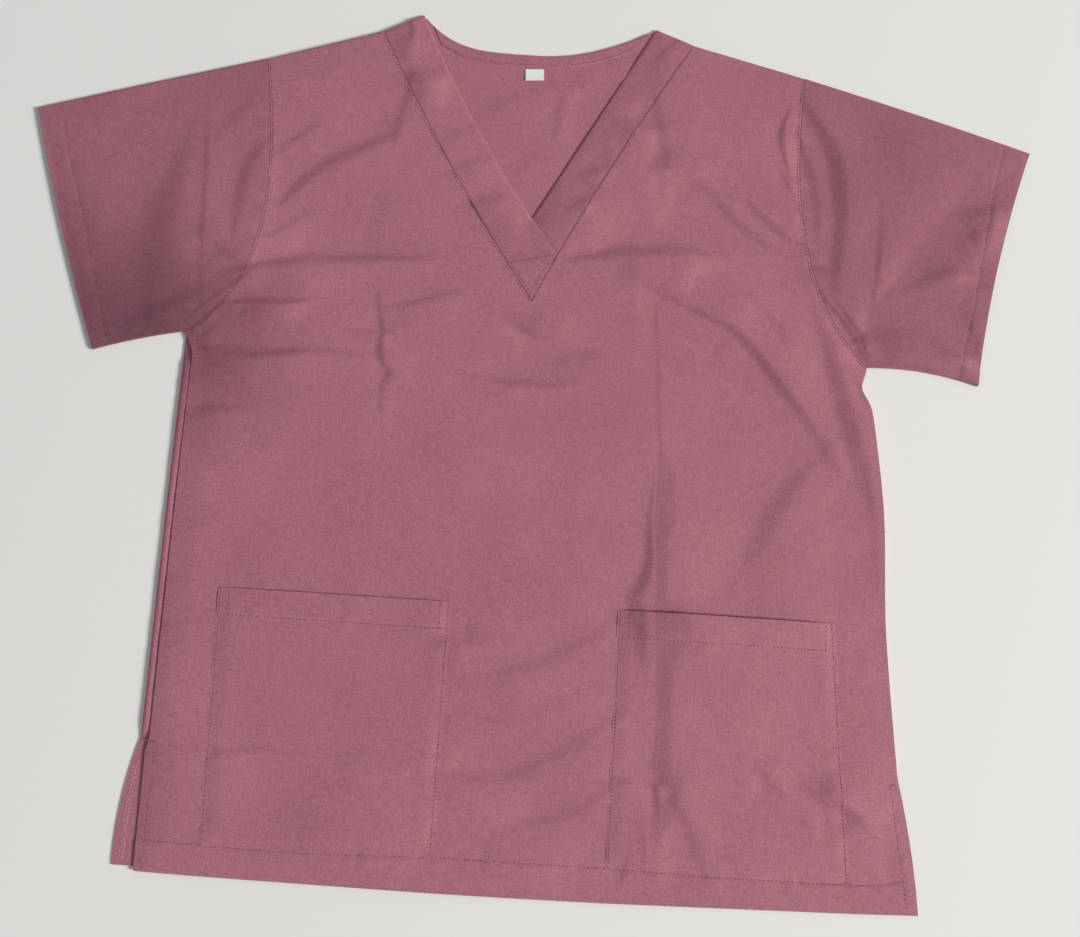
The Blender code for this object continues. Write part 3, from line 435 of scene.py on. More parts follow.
# The long packing crease of the left side: a face that starts sharply at the line, and at places a
# second one a little left of it
packCrease = {
    "line": ((108, -350), (108, -308), (109, -280), (107, -258), (109.5, -229), (110, -200), (109, -155),
             (108.5, -125), (107, -95), (105, -64), (106, -49), (107, -33), (107.5, -9), (104, 30),
             (103, 71), (100.5, 95), (102, 153), (101.5, 229), (100, 255), (97, 275), (96, 300)),
    "reach": 38.0,
    "stations": (
        # along, gap, left width and shade, right width and shade
        (285, 2, 3, 0.0, 4, 0.0), (262, 2, 3, 0.0, 6, 0.14), (255, 2, 3, 0.0, 8, 0.17),
        (229, 2, 3, 0.0, 11, 0.13), (204, 2, 3, 0.0, 7, 0.06), (180, 2, 3, 0.0, 5, 0.0),
        (118, 2, 3, 0.0, 4.6, 0.0), (97, 2, 3, 0.0, 4.6, 0.13), (71, 2, 3, 0.0, 4.6, 0.1),
        (30, 2, 3, 0.0, 4.6, 0.11), (-9, 2, 3, 0.0, 3.2, 0.14), (-33, 2, 3, 0.05, 14, 0.13),
        (-49, 1.5, 3, 0.25, 14, 0.13), (-64, 1.5, 3.6, 0.27, 17, 0.14), (-80, 1.5, 4.8, 0.3, 10, 0.16),
        (-95, 1.8, 7.8, 0.3, 9, 0.16), (-110, 3.9, 10, 0.29, 8, 0.16), (-125, 11.6, 12.4, 0.23, 7, 0.16),
        (-133, 8.5, 15, 0.28, 26, 0.14), (-142, 7, 14, 0.28, 27, 0.12), (-155, 6.5, 11, 0.26, 26, 0.11),
        (-170, 6.5, 9, 0.16, 15, 0.16), (-184, 6, 7, 0.03, 13, 0.16), (-200, 5, 6, 0.0, 12, 0.16),
        (-229, 5, 6, 0.0, 12, 0.17), (-250, 5, 6, 0.0, 14, 0.18), (-258, 5, 6, 0.0, 24, 0.13),
        (-280, 5, 6, 0.0, 17, 0.2), (-294, 5, 6, 0.05, 11, 0.14), (-308, 2, 5, 0.16, 6, 0.04),
        (-322, 2, 5, 0.05, 5, 0.0), (-345, 2, 5, 0.0, 5, 0.0)),
}


def face(across, width, height, reach, soft=False):
    # Height * (ramp over the width - 1/2) * bell of the distance beyond the face. The face of a soft
    # fold has soft edges.
    t = np.clip(across / width + 0.5, 0, 1)
    ramp = softStep(t) if soft else 0.85 * t + 0.15 * softStep(t)
    return height * (ramp - 0.5) * bump(np.maximum(np.abs(across) - width / 2, 0), reach)


def foldSlopes(line, shades):
    # Slope = shade / (shade per slope * share of the light that comes across the fold), evened by a
    # running mean along the fold
    run = directions(line)
    share = run[:, 1] * lightAcross[0] - run[:, 0] * lightAcross[1]
    toward = 1.0 if share.mean() >= 0 else -1.0
    slope = toward * shades / (foldLook["shadePerSlope"] * np.maximum(toward * share, foldLook["leastShare"]))
    length = lengthAlong(line)
    near = np.abs(length[:, None] - length) < foldLook["evenOver"]
    slope = (near * slope).sum(1) / near.sum(1)
    return np.clip(slope, -foldLook["steepest"], foldLook["steepest"])


def foldHeight(x, y):
    # Sum of the folds' faces, each with a bell beyond its ends, less the pressed crease
    height = np.zeros(np.shape(x))
    tallest = foldLook["tallest"]
    for number, (name, places, shade, fall) in enumerate(folds + softFolds):
        places = np.array(places, float)
        margin = places[:, 2].max() * (0.5 + foldLook["bells"] * fall) + foldLook["margin"]
        low, high = places.min(0) - margin, places.max(0) + margin
        inside = (x > low[0]) & (x < high[0]) & (y > low[1]) & (y < high[1])
        if not inside.any():
            continue
        line = through(places[:, :2], even(4 * len(places)))
        signed, at, total = nearLine(x[inside], y[inside], line, foldLook["overrun"])
        knots = lengthAlong(places[:, :2])
        knots *= total / knots[-1]
        lineAt = lengthAlong(line)
        shades = np.interp(lineAt, knots, np.broadcast_to(shade, len(places)))
        slope = np.interp(at, lineAt, foldSlopes(line, shades))
        width = np.interp(at, knots, places[:, 2])
        tall = tallest * np.tanh(slope * width / tallest)
        reach = np.minimum(fall * width + foldLook["leastReach"], foldLook["farthest"])
        ends = bump(pastEnds(at, total), foldLook["endFade"] + width)
        height[inside] += face(-signed, width, tall, reach, number >= len(folds)) * ends
    signed, at, total = nearLine(x, y, through(crease["places"], even(15)), foldLook["overrun"])
    groove = crease["depth"] * bump(signed, crease["width"])
    return height - groove * bump(pastEnds(at, total), crease["fade"])


def packHeight(x, y):
    # One face that ends a gap before the line, and one that starts at the line
    line = np.array(packCrease["line"], float)
    station = np.array(packCrease["stations"], float)[::-1]
    gap, leftWidth, leftShade, rightWidth, rightShade = (
        np.interp(y, station[:, 0], column) for column in station[:, 1:].T)
    across = x - np.interp(y, line[:, 1], line[:, 0])
    scale = 1 / (foldLook["shadePerSlope"] * lightAcross[0])
    reach = packCrease["reach"]
    left = face(across + gap + leftWidth / 2, leftWidth, leftShade * scale * leftWidth, reach)
    return left + face(across - rightWidth / 2, rightWidth, rightShade * scale * rightWidth, reach)


# How the upper layer lies. It settles at the outline, apart from a stretch of the left side whose
# edge stands as high as the cloth.
lying = {
    "waves": ((0.9, 88, 3), (0.5, 44, 6), (0.16, 22, 4), (0.05, 9, 5)),     # height, length, seed
    "sleeveWave": (0.9, 52, 9), "sleeveStart": (235, 50),   # the sleeves lie less flat than the body
    "edgeRise": 0.35, "edgeWidth": 7.0,                     # quick rise beside the outline
    "lowest": 2.15, "lowestRound": 0.35,                    # it stays above the cloth below it
    "fullEdge": ((225.0, 20), (68.0, 20), (-285.0, 30)),    # from x, below y and above y, each over a run
}


def upperTop(x, y):
    # Top of the upper layer without seams: resting air, folds and broad waves
    x, y = np.asarray(x, float), np.asarray(y, float)
    (start, startRun), (high, highRun), (low, lowRun) = lying["fullEdge"]
    full = softStep((x - start) / startRun) * softStep((high - y) / highRun) * softStep((y - low) / lowRun)
    edge = np.abs(nearLine(x, y, outline)[0]) + layers["airRim"] * full
    relief = foldHeight(x, y) + packHeight(x, y)
    for rise, size, seed in lying["waves"]:
        relief += rise * unevenness(x, y, size, seed)
    rise, size, seed = lying["sleeveWave"]
    start, run = lying["sleeveStart"]
    relief += rise * softStep((np.abs(x) - start) / run) * unevenness(x, y, size, seed)
    height = (layers["frontTop"] + lying["edgeRise"] * softStep(edge / lying["edgeWidth"])
              + layers["air"] * softStep(edge / layers["airRim"])
              + relief * softStep(edge / layers["foldRim"]))
    above = height - lying["lowest"]
    return lying["lowest"] + (above + np.sqrt(above ** 2 + lying["lowestRound"] ** 2)) / 2


# Sewing lines on the front
sewing = {
    "hem": ((-269, -315.5), (-223, -318), (-148, -321), (-51, -320.5), (76, -323), (145, -326), (255, -328),
            (299, -324)),
    "slitRight": ((-261, -246), (-261.5, -274), (-263, -298), (-263.5, -337)),
    "slitLeft": ((285.5, -257), (290.5, -294), (297, -344)),
    "cuffRight": ((-379, 246), (-378.2, 234.4), (-360.1, 175.5), (-344.3, 121.8), (-327.3, 61.0), (-325, 57)),
    "cuffLeft": ((381, 254), (380.5, 249.5), (368.8, 193.6), (355.5, 122.2), (342.5, 60.4), (341, 57)),
    # depth and width of the groove at each kind of seam
    "ditch": {"armhole": (0.05, 1.2), "neck": (0.12, 0.8), "hem": (0.18, 0.9), "cuff": (0.2, 0.9)},
    "pucker": {"armhole": 0.42, "neck": 0.18, "hem": 0.2, "cuff": 0.3},
    "puckerPitch": 6.5, "puckerReach": 7.0,
    "hemRise": 0.3, "hemRun": 1.6, "cuffRise": (0.12, 5.0),     # extra thickness of the turned hems
    "slitTop": -243, "slitRun": 6, "slitPress": 0.45, "slitReach": 10.0,
}
seamLines = {"hem": through(sewing["hem"], even(26))}
for side in sides:
    name = side.capitalize()
    seamLines["armhole" + name] = armhole(side, even(30))
    seamLines["v" + name] = vSeam(side, even(20))
    seamLines["slit" + name] = through(sewing["slit" + name], even(10))
    seamLines["cuff" + name] = through(sewing["cuff" + name], even(24))


def seamRelief(x, y, lineName, kind, seed):
    # A groove along the line, and small gathers that die away beside it
    signed, at, total = nearLine(x, y, seamLines[lineName])
    depth, width = sewing["ditch"][kind]
    gathers = unevenness(at, 0 * at + seed * 9.0, sewing["puckerPitch"], 20 + seed)
    reach = sewing["puckerReach"] * (1 + 0.5 * unevenness(at, 0 * at + 7, 31, 40 + seed))
    return sewing["pucker"][kind] * gathers * bump(signed, reach) - depth * bump(signed, width)


def frontTop(x, y):
    # The upper layer with the front panel's seams, hem and slits
    height = upperTop(x, y)
    height += seamRelief(x, y, "armholeRight", "armhole", 1) + seamRelief(x, y, "armholeLeft", "armhole", 2)
    height += seamRelief(x, y, "vRight", "neck", 3) + seamRelief(x, y, "vLeft", "neck", 4)
    hemLine = seamLines["hem"]
    below = np.interp(x, hemLine[:, 0], hemLine[:, 1]) - y
    height += seamRelief(x, y, "hem", "hem", 5) + sewing["hemRise"] * softStep(below / sewing["hemRun"])
    low = softStep((sewing["slitTop"] - y) / sewing["slitRun"])
    fromSlit = np.abs(x - corners["right"]["hem"][0])
    height -= sewing["slitPress"] * low * (1 - softStep(fromSlit / sewing["slitReach"]))
    return height + low * (seamRelief(x, y, "slitRight", "hem", 6) + seamRelief(x, y, "slitLeft", "hem", 7))


def sleeveTop(side, x, y):
    # The upper layer with the sleeve's seam and cuff hem
    name, number = side.capitalize(), sides.index(side)
    height = upperTop(x, y) + seamRelief(x, y, "armhole" + name, "armhole", 1 + number)
    outward = nearLine(x, y, seamLines["cuff" + name])[0] * corners[side]["toward"]
    rise, run = sewing["cuffRise"]
    return height + seamRelief(x, y, "cuff" + name, "cuff", 8 + number) + rise * softStep(outward / run)


def gridQuads(rows, columns, first=0, step=1):
    # Cells of a grid whose points are numbered row by row, each cell a step wide and high
    row, column = np.meshgrid(np.arange(0, rows - 1, step), np.arange(0, columns - 1, step), indexing="ij")
    corner = (first + row * columns + column).ravel()
    return np.column_stack([corner, corner + step, corner + step * (columns + 1), corner + step * columns])


def tubeQuads(rows, columns):
    # The same for a tube, whose last column meets its first
    row, column = np.meshgrid(np.arange(rows - 1), np.arange(columns), indexing="ij")
    start, after = ((row * columns + across % columns).ravel() for across in (column, column + 1))
    return np.column_stack([start, after, after + columns, start + columns])


def addObject(name, data):
    # A new object in the scene
    made = bpy.data.objects.new(name, data)
    bpy.context.scene.collection.objects.link(made)
    return made


def makeObject(name, points, faces, material, sharpAngle=50):
    # A smooth piece of the one body, with sharp edges from the angle on
    mesh = bpy.data.meshes.new(name)
    mesh.from_pydata((points * mm).tolist(), [], faces)
    mesh.shade_smooth()
    if sharpAngle:
        mesh.set_sharp_from_angle(angle=math.radians(sharpAngle))
    mesh.materials.append(material)
    piece = addObject(name, mesh)
    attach(piece, "root")
    return piece


def rimOf(cells, count):
    # Edges of the cells that no other cell runs along the opposite way
    edges = np.vstack([cells[:, [k, (k + 1) % 4]] for k in range(4)])
    forward, backward = edges @ np.array([count, 1]), edges @ np.array([1, count])
    return edges[~np.isin(forward, backward)]


def cellFacing(points, cells):
    # Cross product of each cell's diagonals, which is twice as long as its area is large
    a, b, c, d = (points[cells[:, k]] for k in range(4))
    return np.cross(c - a, d - b)


def areaOf(facing):
    # Half the sum of those products' lengths, in square metres
    return 0.5 * np.linalg.norm(facing, axis=1).sum() * mm * mm


def clothShell(name, outer, inner, material, cells=None):
    # A closed wall: an outer and an inner skin with the same cells, joined round their free edges,
    # and turned so that its volume is above 0
    cells = gridQuads(*outer.shape[:2]) if cells is None else cells
    used, cells = np.unique(cells, return_inverse=True)
    cells = cells.reshape(-1, 4)
    outer, inner = outer.reshape(-1, 3)[used], inner.reshape(-1, 3)[used]
    count = len(outer)
    rim = rimOf(cells, count)
    skirt = np.column_stack([rim[:, 1], rim[:, 0], rim[:, 0] + count, rim[:, 1] + count])
    points = np.vstack([outer, inner])
    faces = np.vstack([cells, cells[:, ::-1] + count, skirt])
    a, b, c, d = (points[faces[:, k]] for k in range(4))
    if (a * (np.cross(b, c) + np.cross(c, d))).sum() < 0:
        faces = faces[:, ::-1]
    area = areaOf(cellFacing(points, faces))
    print(f"{name}: {2 * len(faces)} triangles, {area / 2:.4f} m2 a layer")
    return makeObject(name, points, faces.tolist(), material)


def coarseBackedShell(name, outers, inners, welds, material):
    # A closed wall of two grids side by side, welded along part of their last columns. The hidden
    # inner skin keeps every second row and column, so the rim's faces have five corners.
    sizes = [grid.shape[:2] for grid in outers]
    (rows, firstColumns), (_, lastColumns) = sizes
    second = rows * firstColumns
    number = np.arange(second + rows * lastColumns)
    weld = np.arange(welds, rows)
    number[second + weld * lastColumns + lastColumns - 1] = weld * firstColumns + firstColumns - 1
    fine, coarse = (number[np.vstack([gridQuads(*sizes[0], 0, step),
                                      gridQuads(*sizes[1], second, step)[:, ::-1]])] for step in (1, 2))
    outer, inner = (np.vstack([grid.reshape(-1, 3) for grid in grids]) for grids in (outers, inners))
    facing = cellFacing(outer, fine)
    if facing[:, 2].sum() < 0:
        fine, coarse = fine[:, ::-1], coarse[:, ::-1]
    count = len(outer)
    rim = rimOf(fine, count)
    following = np.full(count, -1)
    following[rim[:, 0]] = rim[:, 1]
    starts = rim[np.isin(rim[:, 0], coarse), 0]
    middle = following[starts]
    ends = following[middle]
    usedOuter, usedInner = np.unique(fine), np.unique(coarse)
    place = np.full(2 * count, -1)
    place[usedOuter] = np.arange(len(usedOuter))
    place[usedInner + count] = len(usedOuter) + np.arange(len(usedInner))
    points = np.vstack([outer[usedOuter], inner[usedInner]])
    skirt = place[np.column_stack([ends, middle, starts, starts + count, ends + count])]
    faces = place[fine].tolist() + place[coarse[:, ::-1] + count].tolist() + skirt.tolist()
    triangles = 2 * (len(fine) + len(coarse)) + 3 * len(skirt)
    print(f"{name}: {triangles} triangles, {areaOf(facing):.4f} m2 a layer")
    return makeObject(name, points, faces, material)


# An edge rolls down over a quarter round, in rows that stand closest at the edge
rollTurn = np.linspace(0, np.pi / 2, 6)
rollInsets = layers["roll"] * (1 - np.cos(rollTurn))
wallInset = 0.8


def rolledSkins(plan, top, wall, rollSide, sideScale=1.0):
    # The first rows follow a quarter round from the surface to the upper face, and so do the first
    # columns by the share that rollSide gives
    outer, inner = np.dstack([plan, top]), np.dstack([plan, top - wall])
    past = len(rollInsets)
    rowInset, sideInset = (wallInset + (layers["roll"] * scale - wallInset) * (1 - np.cos(rollTurn))
                           for scale in (1.0, sideScale))
    down = (plan[past] - plan[0]) / np.hypot(*(plan[past] - plan[0]).T)[:, None]
    across = plan[:, past] - plan[:, 0]
    across /= np.hypot(*across.T)[:, None]
    for k, inset in enumerate(rollInsets):
        rise = np.sin(rollTurn[k])
        for skin in (outer, inner):
            skin[k, :, 2] *= rise
            skin[:, k, 2] *= 1 - rollSide * (1 - rise)
        inner[k, :, :2] += down * (rowInset[k] - inset)
        inner[:, k, :2] += across * ((sideInset[k] - inset * sideScale) * rollSide)[:, None]
    return outer, inner


def operator(operation, flipped=False):
    # A sum, difference or product of two values, or of a number and a value where it is flipped
    return lambda value, other: value.math(operation, other, flipped)


class Value:
    # One output of the material's nodes, so that patterns add and multiply as in a formula
    __add__, __radd__ = operator("ADD"), operator("ADD", True)
    __sub__, __rsub__ = operator("SUBTRACT"), operator("SUBTRACT", True)
    __mul__, __rmul__ = operator("MULTIPLY"), operator("MULTIPLY", True)

    def __init__(self, finish, socket):
        self.finish, self.socket = finish, socket

    def math(self, operation, other=0, flipped=False):
        # This value first, or last where the two are flipped
        pair = {0: other, 1: self} if flipped else {0: self, 1: other}
        return self.finish.node("ShaderNodeMath", {"operation": operation}, pair)


class Finish:
    # A material: its shader, and one method that adds any other node
    def __init__(self, name, sockets):
        self.material = bpy.data.materials.new(name)
        self.material.use_nodes = True
        self.tree = self.material.node_tree
        self.shader = self.tree.nodes["Principled BSDF"]
        self.fill(self.shader, sockets)

    def fill(self, node, sockets):
        # A value is linked to its socket, and a number is written into it
        for key, value in sockets.items():
            if isinstance(value, Value):
                self.tree.links.new(value.socket, node.inputs[key])
            else:
                node.inputs[key].default_value = value

    def node(self, kind, settings=None, sockets=None, output=0):
        # Any other node: its settings come before its sockets
        made = self.tree.nodes.new(kind)
        for key, value in (settings or {}).items():
            setattr(made, key, value)
        self.fill(made, sockets or {})
        return [Value(self, socket) for socket in made.outputs][output]

    def place(self, turn=0.0):
        # The piece's own coordinates in millimetres, turned about the vertical
        return self.node("ShaderNodeMapping", None, {
            "Vector": self.node("ShaderNodeTexCoord", output=3), "Rotation": (0, 0, turn),
            "Scale": (1 / mm, 1 / mm, 1 / mm)})

    def noise(self, place, scale, detail, roughness=0.5):
        # Smooth noise between 0 and 1, so many waves to a millimetre
        return self.node("ShaderNodeTexNoise", {"noise_dimensions": "3D"}, {
            "Vector": place, "Scale": scale, "Detail": detail, "Roughness": roughness})

    def blend(self, share, low, high):
        # The low colour at a share of 0, and the high one at 1
        return self.node("ShaderNodeMix", {"data_type": "RGBA", "clamp_factor": True},
                         {0: share, 6: low, 7: high}, 2)

    def weaving(self, place, pitch):
        # Threads both ways: sin(pi * x / pitch) * sin(pi * y / pitch)
        x, y = self.node("ShaderNodeSeparateXYZ", None, {"Vector": place}, slice(0, 2))
        return (x * (math.pi / pitch)).math("SINE") * (y * (math.pi / pitch)).math("SINE")


# The woven cloth: its colours, and the sizes of its threads and marks in millimetres
weave = {
    "dark": (0.348, 0.124, 0.167), "light": (0.462, 0.181, 0.231),
    "pitch": 0.46, "threadDepth": 0.05,
    "slubLength": 9.0, "slubWidth": 0.7, "slubDepth": 0.02,
    "shadeSize": 85.0, "fleckScale": 0.8,
    "shares": {"slubs": 1.3, "shade": 0.8, "flecks": 2.1, "threads": 0.06},     # in the blend of colours
    "roughness": 0.5,
    "shader": {"Specular IOR Level": 0.14, "Sheen Weight": 0.16, "Sheen Roughness": 0.35,
               "Sheen Tint": (0.95, 0.72, 0.78, 1.0)},
}


def clothFinish(name, turn=0.0, toneAndPaintedShade=1.0):
    # Colour: blend of the two colours by threads, slubs, flecks and broad shade. Relief: the weave
    # plus the slubs.
    finish = Finish(name, weave["shader"])
    place = finish.place(turn)
    threads = finish.weaving(place, weave["pitch"])

    def slubs(long, wide, offset):
        # Noise that is stretched along the thread
        squeezed = finish.node("ShaderNodeMapping", None, {
            "Vector": place, "Location": (0, 0, offset), "Scale": (1 / long, 1 / wide, 0.05)})
        return finish.noise(squeezed, 1.0, 2.0, 0.6)

    along = slubs(weave["slubLength"], weave["slubWidth"], 3.0)
    across = slubs(weave["slubWidth"], weave["slubLength"], 8.0)
    broad = finish.noise(place, 1 / weave["shadeSize"], 2.0)
    fleck = finish.noise(place, weave["fleckScale"], 1.0)
    shares = weave["shares"]
    share = (0.5 + (along + across - 1.0) * shares["slubs"] + (broad - 0.5) * shares["shade"]
             + (fleck - 0.5) * shares["flecks"] + threads * shares["threads"])
    # Both colours are scaled down by the darkening factor. For the sleeves this is painted shade: darker
    # copies of the body's cloth, standing in for the shade the sleeves show in the studio light.
    dark, light = ((*(v * toneAndPaintedShade for v in weave[which]), 1.0) for which in ("dark", "light"))
    relief = threads * weave["threadDepth"] + (along + across) * weave["slubDepth"]
    finish.fill(finish.shader, {
        "Base Color": finish.blend(share, dark, light),
        "Normal": finish.node("ShaderNodeBump", None, {"Strength": 1.0, "Distance": mm, "Height": relief}),
        "Roughness": weave["roughness"] + (broad - 0.5) * 0.12 + (along - 0.5) * 0.1})
    return finish.material


def sleeveTurn(side):
    # The weave follows the sleeve's own length
    run = np.subtract(corners[side]["cuffTop"], corners[side]["shoulder"])
    return -math.atan2(run[1], run[0])


# The sleeves' cloths are the body's cloth darkened: painted shade. The band's cloth is a little darker as
# well.
materials = {
    "body": clothFinish("bodyCloth"),
    "sleeveRight": clothFinish("rightSleeveShadedCloth", sleeveTurn("right"), 0.87),
    "sleeveLeft": clothFinish("leftSleeveShadedCloth", sleeveTurn("left"), 0.84),
    "band": clothFinish("bandCloth", math.radians(32), 0.96),
}
thread = Finish("sewingThread", {"Roughness": 0.55, "Specular IOR Level": 0.4, "Sheen Weight": 0.15})
threadMottle = thread.noise(thread.node("ShaderNodeTexCoord", output=3), 350.0, 1.0)
thread.fill(thread.shader, {"Base Color": thread.blend(
    (threadMottle - 0.5) * 3.0 + 0.4, (0.11, 0.033, 0.048, 1.0), (0.40, 0.15, 0.20, 1.0))})
overlockThread = Finish("overlockThread", {"Base Color": (0.52, 0.25, 0.31, 1.0), "Roughness": 0.6,
                                           "Sheen Weight": 0.2})
print("materials ready")


# One stitch: a short rounded dash of thread. Its stops are shares of its half length and its width.
stitch = {
    "pitch": 3.0, "length": 2.05, "width": 0.34, "height": 0.2, "jitter": 0.16, "sunk": 0.35,
    "unevenLength": (0.45, 1.1),
    "around": 6, "stops": ((-1.0, 0.35), (-0.7, 1.0), (0.7, 1.0), (1.0, 0.35)),
}


def stitchRows(name, rows, material=None):
    # Dashes at even steps along each line, in one mesh. Every dash is a tapered bar that lies on the
    # height given at its two ends.
    rng = np.random.default_rng(len(rows) * 7 + len(name))
    around, stops = stitch["around"], stitch["stops"]
    ring = np.array([(math.cos(a), math.sin(a)) for a in np.linspace(0, 2 * math.pi, around + 1)[:-1]])
    template = np.vstack([np.column_stack([np.full(around, s), ring * r]) for s, r in stops])
    numbers = list(range(len(template)))
    cells = tubeQuads(len(stops), around).tolist() + [numbers[:around][::-1], numbers[-around:]]
    points, stitches = [], 0
    for line, height, options in rows:
        look = {**stitch, **options}
        line = np.asarray(line, float)
        length = lengthAlong(line)
        count = int(length[-1] / look["pitch"])
        middle = (np.arange(count) + 0.5) * length[-1] / count
        middle = middle + rng.uniform(-1, 1, count) * look["jitter"]
        half = look["length"] / 2 * rng.uniform(*look["unevenLength"], count)
        ends = [readAt(line, length, middle + s * half) for s in (-1, 1)]
        ends = [np.column_stack([e, height(e[:, 0], e[:, 1]) + look["height"] * look["sunk"]]) for e in ends]
        run, centre = (ends[1] - ends[0]) / 2, (ends[1] + ends[0]) / 2
        sideways = np.column_stack([-run[:, 1], run[:, 0], np.zeros(count)])
        sideways /= np.linalg.norm(sideways, axis=1)[:, None]
        up = np.cross(run, sideways)
        up /= np.linalg.norm(up, axis=1)[:, None]
        axes = np.stack([run, sideways * look["width"], up * look["height"]], axis=1)
        points.append((centre[:, None] + template @ axes).reshape(-1, 3))
        stitches += count
    faces = [[corner + k * len(template) for corner in cell] for k in range(stitches) for cell in cells]
    piece = makeObject(name, np.vstack(points), faces, material or thread.material, None)
    print(f"{name}: {stitches} stitches")


# Front panel
front = {
    "step": 2.55, "sideRoll": 0.2,
    "stretches": (          # lengths from the shoulder down to the hem, and insets at their ends
        (205, (), ()), (62, (), ()), (180, (), ()), (112, (), ()), (75, (), (0.6, 1.4, 2.4)),
        (24, (0.6, 1.4, 2.4), (0.3, 0.8, 1.5))),
    # places of the pocket's outer and inner lines between armhole and V, at shoulder and tip
    "outerShare": {"right": (0.20, 0.14), "left": (0.20, 0.13)},
    "innerShare": {"right": (0.72, 0.76), "left": (0.70, 0.67)},
    "underarmShare": 0.16, "slitShare": 0.60, "hemDepth": 24.0,
    "middleX": 12.0, "middleLevels": (106.7, 68.0, -132.5, -244.5, -322.0),
    "tipShare": 0.75,           # how far down the armhole the tip's row meets it
    "strip": 6.9, "stripClear": 18.0, "stripEnd": 9.0,      # the back's cloth beside the front's right edge
    "slitLean": 1.1,
    "edgeInsets": {"right": (0, 0.35, 0.8, 1.3, 1.8, 2.3, 2.9, 4.2), "left": (2.2, 4.0)},
    "pocketInsets": (0.3, 0.8, 1.6, 2.6), "middleInsets": (4.0, 2.6, 1.6, 0.9, 0.4, 0.0),
    "outerColumns": 20, "innerColumns": 30,
    "creaseShares": (0.76, 0.765, 0.845, 0.85), "creaseColumns": 17,
    "hemRound": (0.45, 0.9),
}
pockets = {
    "right": {"outerTop": (-223.7, -128.7), "innerTop": (-46.4, -132.9),
              "innerBottom": (-50.8, -319.9), "outerBottom": (-223.5, -318.1)},
    "left": {"outerTop": (243.6, -138.0), "innerTop": (79.7, -133.9),
             "innerBottom": (75.6, -322.8), "outerBottom": (255.4, -327.8)},
}


def rowPlaces():
    # Rows counted in stations: shoulder, tip, underarm, pocket, slit, stitching and hem. The first
    # rows follow the shoulder's roll.
    shoulderRun = 3 * math.hypot(*curves["shoulderPull"]["right"])
    start = rollInsets / shoulderRun / front["tipShare"]
    shares = [spread(length, front["step"], low, high)[1:] for length, low, high in front["stretches"]]
    shares[0] = shares[0][shares[0] > start[-1] * 1.25]
    if (len(start) + len(shares[0])) % 2 == 0:      # the V tip's row has an even number
        shares[0] = np.delete(shares[0], len(shares[0]) // 2)
    if sum(len(run) for run in shares[1:]) % 2:     # and so has the last row
        shares[2] = np.delete(shares[2], len(shares[2]) // 2)
    return np.concatenate([start] + [station + run for station, run in enumerate(shares)])


def frontEdge(side, places):
    # The outer edge at each row: armhole, side and slit
    corner, patch = corners[side], pockets[side]
    share = even(90)
    below = sideEdge(side, share)
    if side == "right":
        below[:, 0] += front["strip"] * softStep((corner["underarm"][1] - below[:, 1]) / front["stripClear"])
        stripEnd = (corner["hem"][0] + front["slitLean"], corner["slit"][1] - front["stripEnd"])
        below = np.vstack([below, [stripEnd]])
    slit = bow(below[-1], corner["hem"], corner["toward"] * curves["slitBow"][side], share)
    below = np.vstack([below, slit[1:]])
    levels = (corner["underarm"][1], patch["outerTop"][1],
              mix(patch["outerTop"], patch["outerBottom"], front["slitShare"])[1],
              patch["outerBottom"][1], corner["hem"][1])
    sewn = places <= 2
    seam = armhole(side, np.interp(places[sewn], (0, 1, 2), (0, front["tipShare"], 1)))
    return np.vstack([seam, follow(below, levels, places[~sewn] - 2)])


def frontGuides(side, places):
    # Lines that the columns run between: outer edge, pocket's outer and inner sides, V and middle
    corner, patch = corners[side], pockets[side]
    tipRow = armhole(side, front["tipShare"])
    hemMiddle = (front["middleX"], hemLevel(front["middleX"]))
    middlePoints = np.vstack([vSeam(side, even(60)), [hemMiddle]])
    middle = follow(middlePoints, (corner["seamTop"][1], *front["middleLevels"], hemMiddle[1]), places)
    lines = []
    for which in ("outer", "inner"):
        atShoulder, atTip = front[which + "Share"][side]
        top, bottom = patch[which + "Top"], patch[which + "Bottom"]
        belowTip = mix(tipRow, neck["tip"], atTip)
        hem = mix(top, bottom, 1 + front["hemDepth"] / (top[1] - bottom[1]))
        hem[1] = hemLevel(hem[0])
        marks = np.array([
            mix(corner["shoulder"], corner["seamTop"], atShoulder), belowTip,
            mix(belowTip, top, front["underarmShare"]), top,
            mix(top, bottom, front["slitShare"]), bottom, hem])
        lines.append(readAt(marks, np.arange(len(marks)), places))
    return frontEdge(side, places), *lines, middle


def pocketShares(side):
    # Columns across the pocket: dense at both its edges, and at the left side's packing crease
    shares = spread(176, front["step"], front["pocketInsets"], front["pocketInsets"])
    if side == "left":
        before, first, last, after = front["creaseShares"]
        fine = np.linspace(first, last, front["creaseColumns"])
        shares = np.concatenate([shares[shares < before], fine, shares[shares > after]])
    if len(shares) % 2 == 0:
        shares = np.delete(shares, len(shares) // 3)
    return shares


def frontHalf(side, places):
    # Plan of one half of the front, row by row from its outer edge to the middle, and the first and
    # last column of its pocket
    edge, outer, inner, middle = frontGuides(side, places)
    near = np.array(front["edgeInsets"][side])
    if side == "left":
        near = np.concatenate([rollInsets * front["sideRoll"], near])
    widths = np.hypot(*(outer - edge).T)[:, None]
    rest = even(front["outerColumns"])[1:]
    share = np.hstack([near / widths, near[-1] / widths + (1 - near[-1] / widths) * rest])
    strips = [edge[:, None] + (outer - edge)[:, None] * share[..., None]]
    first = share.shape[1] - 1
    across = pocketShares(side)[1:, None, None]
    strips.append((outer + (inner - outer) * across).transpose(1, 0, 2))
    widths = np.hypot(*(middle - inner).T)[:, None]
    insets = np.array(front["middleInsets"])
    rest = even(front["innerColumns"])[1:-1]
    share = np.hstack([rest * (1 - insets[0] / widths), 1 - insets / widths])
    strips.append(inner[:, None] + (middle - inner)[:, None] * share[..., None])
    return np.concatenate(strips, axis=1), (first, first + len(across))


